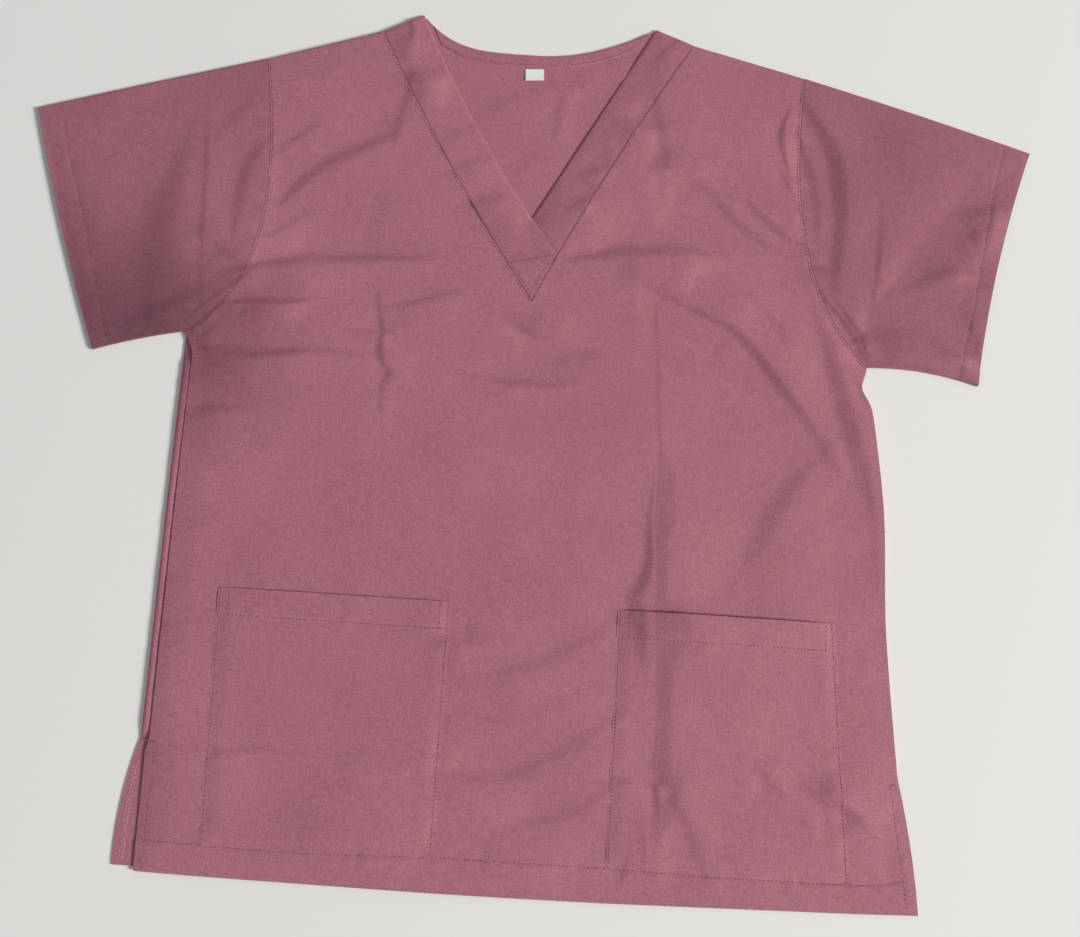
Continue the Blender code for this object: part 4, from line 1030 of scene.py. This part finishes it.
places = rowPlaces()
halvesPlan, pocketColumns = {}, {}
skins = []
tipStart = int(np.searchsorted(places, 1 - 1e-9))
for side in sides:
    plan, pocketColumns[side] = frontHalf(side, places)
    halvesPlan[side] = plan
    top = frontTop(*xy(plan))
    corner, y = corners[side], plan[:, 0, 1]
    rollSide = np.zeros(len(plan))
    if side == "left":
        rollSide = softStep((corner["underarm"][1] - 2 - y) / 12) * softStep((y - corner["slit"][1]) / 14)
    outer, inner = rolledSkins(plan, top, layers["frontWall"], rollSide, front["sideRoll"])
    # the hem's own edge is a soft fold
    depth, width = front["hemRound"]
    hemInset = np.abs(hemLevel(plan[..., 0]) - plan[..., 1])
    outer[..., 2] -= depth * edgeFall(hemInset, width) * (places[:, None] > 5)
    skins.append((outer, inner))
frontPiece = coarseBackedShell("frontCloth", *zip(*skins), tipStart, materials["body"])
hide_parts("front_panel")
print("front ready")


# Back panel, with the rolled seam strip along its right side
back = {
    "step": 5.2, "inset": 2.5, "insetStart": 5.0,
    "stripWidth": 6.5, "stripRise": 1.5, "stripRun": 0.1, "stripStart": 9.0, "stripClear": 18.0,
    "stripInsets": (0, 0.15, 0.55, 1.2, 2.2, 3.2, 4.2, 5.4, 6.1), "stripDrop": 0.7,
    "stripWave": 0.28, "stripGather": 0.16, "columns": (16, 62, 24), "firstShare": 0.022,
    "low": 0.05, "lowRise": 0.3, "leastWall": 0.1,
    "rumpleLow": (120, 30), "rumpleSide": (150, 30), "rumple": (0.12, 0.12, 0.04),
}
backFolds = (
    # name, places, dark width, lit width, height
    ("under the label", ((-30, 274), (-2, 285), (14, 292)), 6, 14, 0.7),
    ("hook", ((19, 256), (23, 284), (40, 300)), 6, 9, 0.8),
    ("by the left band", ((70, 299), (60, 312)), 4, 7, 0.6),
    ("low", ((-12, 213), (-2, 227), (13, 232)), 5, 10, 0.45),
)


def backTop(x, y):
    # The back's top face: level, with a few low folds and some rumple inside the neck
    height = np.full(np.shape(x), layers["backTop"])
    for name, knots, dark, lit, rise in backFolds:
        height += ridge(x, y, knots, 12, dark, lit, rise)
    (low, lowRun), (side, sideRun) = back["rumpleLow"], back["rumpleSide"]
    inside = softStep((y - low) / lowRun) * softStep((side - np.abs(x)) / sideRun)
    rise, broad, fine = back["rumple"]
    return height + inside * (rise + broad * unevenness(x, y, 34, 12) + fine * unevenness(x, y, 11, 13))


def backEdge(side, at):
    # Armhole, side and flap at each row
    corner = corners[side]
    flap = bow(corner["slit"], corner["flap"], curves["flapBow"][side], even(16)[1:])
    below = np.vstack([sideEdge(side, even(90)), flap])
    levels = (corner["underarm"][1], corner["slit"][1], corner["flap"][1])
    sewn = at <= 1
    inset = back["inset"] / (3 * math.hypot(*curves["shoulderPull"][side]))
    return np.vstack([armhole(side, np.maximum(at[sewn], inset)), follow(below, levels, at[~sewn] - 1)])


at = np.concatenate([spread(262, back["step"]), 1 + spread(314, back["step"])[1:],
                     2 + spread(92, back["step"], (), (0.5, 1.2))[1:]])
rightLine, leftLine = backEdge("right", at), backEdge("left", at)
above = corners["left"]["underarm"][1] + back["insetStart"] - leftLine[:, 1]
leftLine[:, 0] -= back["inset"] * softStep(above / back["insetStart"])
widths = leftLine[:, 0] - rightLine[:, 0]
strip = np.array([*back["stripInsets"], back["stripWidth"], back["stripWidth"] + back["stripRun"]])
neckShare = [(corners[side]["neck"][0] - rightLine[0, 0]) / widths[0] for side in sides]
shareMarks = (back["firstShare"], *neckShare, 1)
across = np.concatenate([np.linspace(first, last, count)[:-1] for first, last, count
                         in zip(shareMarks, shareMarks[1:], back["columns"])] + [[1.0]])
share = np.hstack([strip[None, :] / widths[:, None], np.tile(across, (len(at), 1))])
plan = rightLine[:, None] + (leftLine - rightLine)[:, None] * share[..., None]
shoulders = np.array([corners["right"][k] for k in ("shoulder", "seamTop", "neck")]
                     + [corners["left"][k] for k in ("neck", "seamTop", "shoulder")])
topX = plan[0, :, 0]
underShoulder = np.interp(topX, shoulders[:, 0], shoulders[:, 1]) - back["inset"]
insideNeck = (topX > corners["right"]["neck"][0]) & (topX < corners["left"]["neck"][0])
drop = np.where(insideNeck, np.minimum(backNeckline(topX), underShoulder), underShoulder) - plan[0, :, 1]
drop[0] = drop[-1] = 0
plan[..., 1] += (1 - softStep(at))[:, None] * drop
corner, y = corners["right"], rightLine[:, 1]
roll = (softStep((corner["underarm"][1] - back["stripClear"] - y) / back["stripStart"])
        * softStep((y - corner["slit"][1]) / back["stripStart"]))
top = backTop(*xy(plan))
profile = np.sqrt(np.clip(strip / 1.2, 0, 1)) * back["stripRise"]
profile[-1] = 0
profile[4:-1] += back["stripWave"] * np.cos((strip[4:-1] - 3.4) / 3.6 * math.pi)
gathers = unevenness(y, 0 * y, 7, 31)
top[:, :len(strip)] += roll[:, None] * (profile + back["stripGather"] * gathers[:, None] * (profile > 0))
top[:, 0] -= back["stripDrop"] * (roll > 0)
low = np.full(top.shape, back["low"])
low[:, 0] = np.minimum(low[:, 0] + back["lowRise"] * roll, top[:, 0] - back["leastWall"])
backPiece = clothShell("backCloth", np.dstack([plan, top]), np.dstack([plan, low]), materials["body"])
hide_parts("back_panel")
print("back ready")


# Sleeves: flattened tubes from the armhole to the cuff
sleeves = {
    "length": 170, "step": 2.3, "fold": 1.35, "foldSteps": 5, "wall": 0.8,
    "overColumns": 96, "belowColumns": 42,
    "seamInsets": (0.4, 1.0, 1.9, 3.0), "cuffInsets": (0.3, 0.9, 1.8, *range(3, 22)),
}


def sleeve(side):
    # Two layers between the folds, with a half round at each
    corner, toward = corners[side], corners[side]["toward"]
    fine = even(200)
    seam = offsetLine(armhole(side, fine), toward * layers["gap"])
    cuff = bow(corner["cuffTop"], corner["cuffBottom"], toward * curves["cuffBow"][side], fine)
    along = spread(sleeves["length"], sleeves["step"], sleeves["seamInsets"], sleeves["cuffInsets"])
    fold = bow(seam[0], corner["cuffTop"], toward * curves["sleeveTopBow"][side], along)
    under = bow(seam[-1], corner["cuffBottom"], toward * curves["underarmBow"][side], along)
    depth = np.hypot(*(under - fold).T)[:, None]
    half = sleeves["fold"]
    turn = np.linspace(0, math.pi / 2, sleeves["foldSteps"])
    overInside, belowInside = (even(sleeves[which + "Columns"])[1:-1] for which in ("over", "below"))

    def patch(share):
        # Coons patch between the seam, the cuff and the two folds
        rows = []
        for k, a in enumerate(along):
            b = share[k]
            near, far = readAt(seam, fine, b), readAt(cuff, fine, b)
            flat = mix(seam[0], seam[-1], b) * (1 - a) + mix(cuff[0], cuff[-1], b) * a
            rows.append(near * (1 - a) + far * a + mix(fold[k], under[k], b) - flat)
        return np.array(rows)

    def ring(wall):
        # Over the top, round the underarm, back below and round the fold
        rise = np.sin(turn)
        near = (wall + (half - wall) * (1 - np.cos(turn))) / depth
        overInner, belowInner = (np.tile(inside, (len(along), 1))
                                 for inside in (overInside, belowInside[::-1]))
        over = patch(np.hstack([near, overInner, 1 - near[:, ::-1]]))
        below = patch(np.hstack([1 - near[:, 1:], belowInner, near[:, :0:-1]]))
        overRise = np.concatenate([rise, np.ones(len(overInside)), rise[::-1]])
        belowRise = np.concatenate([rise[1:], np.ones(len(belowInside)), rise[:0:-1]])
        extra = sleeveTop(side, *xy(over)) - layers["frontTop"]
        overZ = half + (half - wall + extra) * overRise
        belowZ = np.tile(half - (half - wall) * belowRise, (len(along), 1))
        return np.concatenate([np.dstack([over, overZ]), np.dstack([below, belowZ])], axis=1)

    outer, inner = ring(0.0), ring(sleeves["wall"])
    name = "sleeve" + side.capitalize()
    piece = clothShell(name, outer, inner, materials[name], tubeQuads(*outer.shape[:2]))
    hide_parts("sleeve_" + side)


sleeve("right")
sleeve("left")
print("sleeves ready")


# Neck bands: the right one crosses over the left one
bands = {
    "width": 34.0, "tuck": 20.0, "clearance": 12.0, "settle": 15.0, "lift": 0.3, "dip": 0.95,
    "seamEnd": {"right": 1.0, "left": 0.835}, "tipFade": (152.0, 30.0),
    "rise": 0.12, "wall": 1.1, "groove": {"right": 0.3, "left": 0.1}, "grooveWidth": 1.1,
    "edgeRound": 1.3, "edgePress": 0.45, "pressReach": 22.0, "dipStart": 2.0, "dipRun": 5.0,
    "rowStep": 2.4, "columnStep": 2.2, "floorGap": 0.12,
    "insets": ((0.4, 0.9, 1.6, 2.6), (0.08, 0.3, 0.7, 1.3)),        # at the seam and at the inner edge
}


def bandLift(x, y):
    # The right band rises by one layer over the left one's hidden end
    run = np.subtract(neck["crossing"], corners["left"]["neck"])
    hidden = np.add(neck["crossing"], run / np.hypot(*run) * bands["tuck"])
    near = np.minimum(np.abs(nearLine(x, y, [neck["crossing"], hidden])[0]),
                      np.abs(nearLine(x, y, [hidden, neck["bandEnd"]])[0]))
    return bands["lift"] * (1 - softStep((near - bands["clearance"]) / bands["settle"]))


bandFolds = (
    # side, places across the band, dark width, lit width, height
    ("right", ((-92, 283), (-108, 312)), 12, 20, 1.0),
    ("right", ((-74, 236), (-50, 252)), 10, 20, 0.6),
    ("right", ((-46, 190), (-12, 181)), 10, 22, 0.8),
    ("right", ((-103, 331), (-106, 345)), 3, 6, 0.9),
    ("left", ((44, 192), (66, 208)), 10, 20, 0.7),
    ("left", ((88, 262), (104, 282)), 10, 20, 0.7),
    ("left", ((100, 318), (112, 330)), 6, 10, 0.6),
)


def aboveTip(y):
    # 0 near the V's tip and 1 above it
    low, run = bands["tipFade"]
    return softStep((y - low) / run)


def bandTop(side, x, y):
    # The upper layer with the seam's groove, raised by the band's second layer
    height = upperTop(x, y) + bands["rise"]
    fromSeam = nearLine(x, y, seamLines["v" + side.capitalize()])[0]
    height -= bands["groove"][side] * bump(fromSeam, bands["grooveWidth"])
    fromInner = np.abs(nearLine(x, y, bandEdge(side, even(12)))[0])
    height -= bands["edgePress"] * (1 - softStep(fromInner / bands["pressReach"])) * aboveTip(y)
    for which, knots, dark, lit, rise in bandFolds:
        if which == side:
            height += ridge(x, y, knots, 8, dark, lit, rise)
    if side == "right":
        return height + bandLift(x, y)
    under = nearLine(x, y, bandEdge("right", even(12)))[0]     # it dips below the other band
    return height - bands["dip"] * softStep((bands["dipStart"] - under) / bands["dipRun"])


def neckBand(side):
    # Rows from the shoulder down, between the seam and the inner edge
    corner, fine = corners[side], even(200)
    length = math.hypot(*np.subtract(neck["tip"], corner["seamTop"]))
    rows = spread(length, bands["rowStep"], rollInsets[1:])
    seam = offsetLine(vSeam(side, fine), layers["gap"] * -corner["toward"])
    seam[-1] = (neck["tip"][0], neck["tip"][1] + 2 * layers["gap"])
    outerLine = readAt(seam, fine, rows * bands["seamEnd"][side])
    if side == "left":
        run = np.subtract(neck["crossing"], corner["neck"])
        innerLine = bandEdge(side, rows * (1 + bands["tuck"] / np.hypot(*run)))
    else:
        innerLine = bandEdge(side, rows)
        lean = np.subtract(neck["tip"], neck["bandEnd"])
        lean = lean / np.hypot(*lean)
        innerLine[-1] += np.array([lean[1], -lean[0]]) * layers["gap"]
    across = spread(bands["width"], bands["columnStep"], *bands["insets"])[:, None, None]
    plan = (outerLine + (innerLine - outerLine) * across).transpose(1, 0, 2)
    top = bandTop(side, *xy(plan))
    fromEdge = (1 - across[:, 0, 0]) * bands["width"]
    top -= (0.1 + 0.45 * aboveTip(plan[..., 1])) * edgeFall(fromEdge, bands["edgeRound"])[None, :]
    outer, inner = rolledSkins(plan, top, bands["wall"], np.zeros(len(plan)))
    floor = layers["backTop"] + bands["floorGap"]
    inner[..., 2] = np.where(outer[..., 2] > floor + 0.5, np.maximum(inner[..., 2], floor), inner[..., 2])
    piece = clothShell("neckBand" + side.capitalize(), outer, inner, materials["band"])
    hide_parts("neck_band_" + side)


neckBand("right")
neckBand("left")
print("neck bands ready")


# Patch pockets: the front's own rows and columns, moved out
pocketLook = {
    "gap": 0.2, "wall": 0.55, "lining": 1.15, "width": 170.0, "hem": 20.5, "hemRise": 0.35, "hemDitch": 0.28,
    "hemWidth": 0.9, "mouthLift": {"right": 0.5, "left": 2.1}, "mouthFade": 55.0,
    "stitchInset": 2.2, "barInset": {"right": (9.0, 8.5), "left": (6.5, 9.0)},
    "pucker": 0.32, "gatherPitch": 5.5, "gatherFrom": 3.0, "gatherReach": 5.0,
    "gatherSeed": {"right": 51, "left": 52}, "pressed": 0.62, "pressReach": 11.0, "rounding": 0.05,
    "roundWidth": 0.9, "rowsApart": 0.3, "floorGap": 0.05, "leastWall": 0.1,
    "hemRows": (-1.2, -0.5, 0.1, 0.7, 1.5), "mouthRows": (0.25, 0.8, 1.6),
    "stitches": {"pitch": 2.6, "length": 1.7, "width": 0.36},
}


def pocketFrame(side):
    # The pocket's four corners
    return [np.array(pockets[side][k]) for k in ("outerTop", "innerTop", "innerBottom", "outerBottom")]


def levelAt(x, start, end):
    # y of the straight line between two points, at x
    low, high = sorted([tuple(start), tuple(end)])
    return np.interp(x, (low[0], high[0]), (low[1], high[1]))


def mouthLift(side, share, down):
    # The mouth stands off in a half sine, and less and less below it
    below = softStep(down / pocketLook["mouthFade"])
    return pocketLook["mouthLift"][side] * np.sin(np.pi * share) * (1 - below)


def pocketTop(side, x, y):
    # The front's face, one layer out, with the mouth's hem, its lift and gathers along the sides
    outerTop, innerTop, innerBottom, outerBottom = pocketFrame(side)
    down = levelAt(x, outerTop, innerTop) - y
    leftX, rightX = (levelAt(y, bottom[::-1], top[::-1])
                     for bottom, top in ((outerBottom, outerTop), (innerBottom, innerTop)))
    share = np.clip((x - leftX) / (rightX - leftX), 0, 1)
    fromSide = np.minimum(share, 1 - share) * pocketLook["width"]
    belowHem = down - pocketLook["hem"]
    height = frontTop(x, y) + pocketLook["gap"] + pocketLook["wall"] + mouthLift(side, share, down)
    height += pocketLook["hemRise"] * (1 - softStep(belowHem / pocketLook["hemWidth"]))
    height -= pocketLook["hemDitch"] * bump(belowHem, pocketLook["hemWidth"])
    gathers = unevenness(y, share * 3 + 2, pocketLook["gatherPitch"], pocketLook["gatherSeed"][side])
    gathers *= bump(fromSide - pocketLook["gatherFrom"], pocketLook["gatherReach"])
    height += pocketLook["pucker"] * gathers
    fromEdge = np.minimum(fromSide, np.maximum(y - levelAt(x, outerBottom, innerBottom), 0))
    return height - pocketLook["pressed"] * (1 - softStep(fromEdge / pocketLook["pressReach"]))


def pocket(side):
    # The front's cells under the pocket, with more rows at the mouth and at its hem's stitching, so
    # that both are round
    begin, end = pocketColumns[side]
    top, bottom = (int(np.searchsorted(places, station - 1e-9)) for station in (3, 5))
    patch = halvesPlan[side][top:bottom + 1, begin:end + 1]
    rowAt = np.arange(len(patch), dtype=float)
    rowDown = (patch[0, :, 1] - patch[..., 1]).mean(1)
    hemRow = np.interp(pocketLook["hem"] + np.array(pocketLook["hemRows"]), rowDown, rowAt)
    mouthRow = np.interp(pocketLook["mouthRows"], rowDown, rowAt)
    clear = np.abs(rowAt[:, None] - hemRow).min(1) > pocketLook["rowsApart"]
    rowAt = np.sort(np.concatenate([mouthRow, hemRow, rowAt[clear]]))
    before = np.minimum(rowAt.astype(int), len(patch) - 2)
    patch = patch[before] + (patch[before + 1] - patch[before]) * (rowAt - before)[:, None, None]
    down = patch[0, :, 1] - patch[..., 1]
    height = pocketTop(side, *xy(patch))
    fromSides = [np.hypot(*xy(patch - edge)) for edge in (patch[:, :1], patch[:, -1:])]
    fromEdge = np.minimum.reduce([down, *fromSides, (patch[..., 1] - patch[-1, :, 1]) * 1.5])
    height -= pocketLook["rounding"] * edgeFall(fromEdge, pocketLook["roundWidth"])
    low = frontTop(*xy(patch)) + pocketLook["floorGap"] + mouthLift(side, even(patch.shape[1]), down)
    inner = np.minimum(np.maximum(low, height - pocketLook["lining"]), height - pocketLook["leastWall"])
    piece = clothShell("pocket" + side.capitalize(), np.dstack([patch, height]), np.dstack([patch, inner]),
                       materials["body"])
    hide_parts("pocket_" + side)


pocket("right")
pocket("left")
print("pockets ready")


# Back neck facing, and the bare label below it
facing = {
    "width": 10.0, "reach": (-85.5, 90.0), "innerReach": (-77.8, 82.4), "rise": 0.55, "wall": 0.5,
    "step": 1.1, "insets": (0.2, 0.6), "stitchInset": 8.6, "rounding": 0.3, "roundWidth": 0.6,
    "ditch": 0.15, "ditchWidth": 0.6, "floorGap": 0.03,
}
label = {
    "size": (15.0, 10.0), "centre": (-0.9, 298.8), "lean": 0.04, "curl": 0.7, "wall": 0.3, "rise": 0.5,
    "color": (0.86, 0.86, 0.84, 1.0), "ribPitch": 0.3, "ribDepth": 0.05,
}


def facingTop(x, y):
    # One layer on the back, a little uneven
    return backTop(x, y) + facing["rise"] + 0.1 * unevenness(x, y, 6, 61)


def neckFacing():
    # A strip below the back neckline
    outerX, innerX = (first + (last - first) * even(90)
                      for first, last in (facing["reach"], facing["innerReach"]))
    outerLine = np.column_stack([outerX, backNeckline(outerX)])
    innerLine = np.column_stack([innerX, backNeckline(innerX) - facing["width"]])
    across = spread(facing["width"], facing["step"], facing["insets"], facing["insets"])[:, None, None]
    plan = outerLine + (innerLine - outerLine) * across
    across = across[:, :, 0] * facing["width"]
    top = facingTop(*xy(plan))
    top -= facing["rounding"] * edgeFall(np.minimum(across, facing["width"] - across), facing["roundWidth"])
    top -= facing["ditch"] * bump(across - facing["stitchInset"], facing["ditchWidth"])
    low = np.maximum(top - facing["wall"], backTop(*xy(plan)) + facing["floorGap"])
    piece = clothShell("neckFacing", np.dstack([plan, top]), np.dstack([plan, low]), materials["band"])
    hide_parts("back_neck_facing")


def sizeLabel():
    # A bare ribbed tape that curls up towards its free end
    finish = Finish("labelTape", {"Base Color": label["color"], "Roughness": 0.55})
    ribs = finish.weaving(finish.place(), label["ribPitch"])
    finish.fill(finish.shader, {"Normal": finish.node("ShaderNodeBump", None, {
        "Strength": 0.6, "Distance": mm * label["ribDepth"], "Height": ribs})})
    wide, high = label["size"]
    u, v = np.meshgrid(np.linspace(-0.5, 0.5, 25) * wide, np.linspace(0.5, -0.5, 18) * high)
    plan = np.dstack([u + label["centre"][0] - label["lean"] * v, v + label["centre"][1] + label["lean"] * u])
    free = (0.5 - v / high) ** 2
    top = backTop(*xy(plan)) + label["rise"] + label["curl"] * free * (1 + 0.2 * u / 7)
    inner = np.dstack([plan, top - label["wall"]])
    piece = clothShell("sizeLabel", np.dstack([plan, top]), inner, finish.material)
    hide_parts("size_label")


neckFacing()
sizeLabel()
print("facing and label ready")


# Sewing
def part(line, low, high):
    # The stretch of a line between two lengths along it
    length = lengthAlong(line)
    return readAt(line, length, np.linspace(low, min(high, length[-1]), 60))


armRight, armLeft = (armhole(side, even(90)) for side in sides)
vRight, vLeft = (vSeam(side, even(60)) for side in sides)
onRightBand = lambda x, y: bandTop("right", x, y)
barLook = {"pitch": 1.0, "length": 1.0, "width": 0.5}
stitchRows("armholeStitches", [
    (part(offsetLine(armRight, 1.9), 4, 268), frontTop, {"width": 0.38}),
    (part(offsetLine(armLeft, -1.5), 4, 272), frontTop, {"width": 0.36}),
])
stitchRows("neckStitches", [
    (part(offsetLine(vRight, -1.3), 4, 262), frontTop, {}),
    (part(offsetLine(vLeft, 1.3), 4, 262), frontTop, {}),
])
stitchRows("bandStitches", [
    (mix((-14.5, 137.5), (21.5, 144.8), even(12)), onRightBand, {}),
    (part(offsetLine(vRight, 3.0), 226, 256), onRightBand, {}),
    (part(offsetLine(vLeft, -3.0), 222, 256), onRightBand, {}),
])
stitchRows("hemStitches", [
    (through(sewing["hem"], even(80)), frontTop, {}),
    (through(sewing["slitRight"], even(30)), frontTop, {}),
    (through(sewing["slitLeft"], even(30)), frontTop, {}),
    (mix((-269.5, -244.0), (-261, -245.2), even(6)), frontTop, barLook),
    (mix((284.5, -256.0), (288.5, -255.0), even(6)), frontTop, barLook),
])
for side in sides:
    name = side.capitalize()
    onSleeve = lambda x, y, which=side: sleeveTop(which, x, y)
    onPocket = lambda x, y, which=side: pocketTop(which, x, y)
    stitchRows("cuffStitches" + name, [(part(seamLines["cuff" + name], 12, 196), onSleeve, {})])
    outerTop, innerTop, innerBottom, outerBottom = pocketFrame(side)
    inward = np.array([-corners[side]["toward"], 0])
    inset = inward * pocketLook["stitchInset"]
    hemDown = np.array([0, -pocketLook["hem"]])
    outerBar, innerBar = pocketLook["barInset"][side]
    sideSeams = [mix(outerTop + inset, outerBottom + inset, even(60)),
                 mix(innerTop - inset, innerBottom - inset, even(60))]
    mouth = mix(outerTop + hemDown + inset, innerTop + hemDown - inset, even(50))
    barTops = (outerTop + inward * outerBar - (0, 1), innerTop - inward * innerBar - (0, 1))
    bars = [mix(top, top + hemDown, even(9)) for top in barTops]
    stitchRows("pocketStitches" + name, [(line, onPocket, pocketLook["stitches"]) for line in sideSeams]
               + [(line, onPocket, {}) for line in (mouth, *bars)])
facingX = np.linspace(facing["innerReach"][0] + 3, facing["innerReach"][1] - 3, 80)
stitchRows("facingStitches", [
    (np.column_stack([facingX, backNeckline(facingX) - facing["stitchInset"]]), facingTop, {}),
])

# Overlocked edge of the back's flap in the right slit: a zigzag of lighter thread
zigs = np.arange(44)
zigY = np.linspace(-262, -331, len(zigs))
zigX = np.interp(-zigY, (262, 299, 331), (-276.0, -279.2, -280.6)) + 2.0 * (-1.0) ** zigs
zigzag = readAt(np.column_stack([zigX, zigY]), zigs, np.linspace(0, zigs[-1], 400))
stitchRows("overlockStitches", [
    (zigzag, backTop, {"pitch": 2.0, "length": 2.1, "width": 0.3, "jitter": 0.05}),
    (np.column_stack([zigX[::2] - 0.2, zigY[::2]]), backTop, {"pitch": 1.7, "length": 1.6, "width": 0.3}),
], overlockThread.material)
print("sewing ready")


# Floor, light and camera
studio = {
    "floor": (0.80, 0.79, 0.77, 1.0), "floorReach": 6,
    "world": (0.93, 0.96, 1.0, 1.0), "worldStrength": 0.33,
    "key": {"azimuth": foldLook["lightFrom"], "elevation": 27.0, "distance": 10.0, "size": 2.86,
            "power": 1335.0, "color": (1.0, 0.98, 0.95)},
    "flag": {"shades": (-0.325, 0.078, 0.0), "away": 0.42, "width": 0.14, "height": 0.074, "points": 32},
    "camera": (0.01621773, -0.20191158, 0.99244192),
    "look": (0.0, 0.17364818, -0.98480775), "up": (-0.04013179, 0.98401439, 0.17350829),
    "lens": 43.333, "sensor": 36.0,
}


def studioFace(name, points, finish):
    # One flat face with a plain material
    mesh = bpy.data.meshes.new(name)
    mesh.from_pydata(points, [], [tuple(range(len(points)))])
    mesh.materials.append(finish.material)
    return addObject(name, mesh)


reach = studio["floorReach"]
floor = studioFace("floor", [(-reach, -reach, 0), (reach, -reach, 0), (reach, reach, 0), (-reach, reach, 0)],
                   Finish("paleFloor", {"Base Color": studio["floor"], "Roughness": 0.85}))

world = bpy.data.worlds.new("softRoom")
bpy.context.scene.world = world
world.use_nodes = True
world.node_tree.nodes["Background"].inputs[0].default_value = studio["world"]
world.node_tree.nodes["Background"].inputs[1].default_value = studio["worldStrength"]


def lookAlong(direction, up=(0, 0, 1)):
    # Turn whose own -Z axis points along the direction
    back = -np.array(direction, float) / np.linalg.norm(direction)
    side = np.cross(up, back)
    side /= np.linalg.norm(side)
    return Matrix(np.column_stack([side, np.cross(back, side), back]).tolist()).to_euler()


key = studio["key"]
around, above = math.radians(key["azimuth"]), math.radians(key["elevation"])
toLight = np.array([math.cos(around) * math.cos(above), math.sin(around) * math.cos(above), math.sin(above)])


def softKey(name):
    # A wide round light along toLight
    light = bpy.data.lights.new(name, "AREA")
    light.shape, light.size, light.energy, light.color = "DISK", key["size"], key["power"], key["color"]
    holder = addObject(name, light)
    holder.location, holder.rotation_euler = key["distance"] * toLight, lookAlong(-toLight)
    return holder


def groupOf(name, item, state):
    # One object, taken into a light's rule or left out of it
    group = bpy.data.collections.new(name)
    group.objects.link(item)
    group.collection_objects[0].light_linking.link_state = state
    return group


# A small flag before the key light softly shades the right sleeve. The floor has a key of its own,
# without the flag.
flag = studio["flag"]
card = studioFace("flag", [(flag["width"] / 2 * math.cos(a), flag["height"] / 2 * math.sin(a), 0)
                           for a in np.linspace(0, 2 * math.pi, flag["points"] + 1)[:-1]],
                  Finish("flagCard", {"Base Color": (0.5, 0.5, 0.5, 1.0), "Roughness": 0.9}))
card.location, card.rotation_euler = flag["shades"] + flag["away"] * toLight, lookAlong(-toLight)
card.visible_camera = card.visible_glossy = card.visible_diffuse = False
clothKey, floorKey = softKey("clothKey"), softKey("floorKey")
clothKey.light_linking.receiver_collection = groupOf("notFloor", floor, "EXCLUDE")
floorKey.light_linking.receiver_collection = groupOf("onlyFloor", floor, "INCLUDE")
floorKey.light_linking.blocker_collection = groupOf("notFlag", card, "EXCLUDE")

cameraData = bpy.data.cameras.new("camera")
cameraData.lens, cameraData.sensor_width = studio["lens"], studio["sensor"]
cameraData.sensor_fit = "HORIZONTAL"
camera = addObject("camera", cameraData)
camera.location, camera.rotation_euler = studio["camera"], lookAlong(studio["look"], studio["up"])
bpy.context.scene.camera = camera
bpy.context.scene.view_settings.view_transform = "Standard"

print("scene ready")
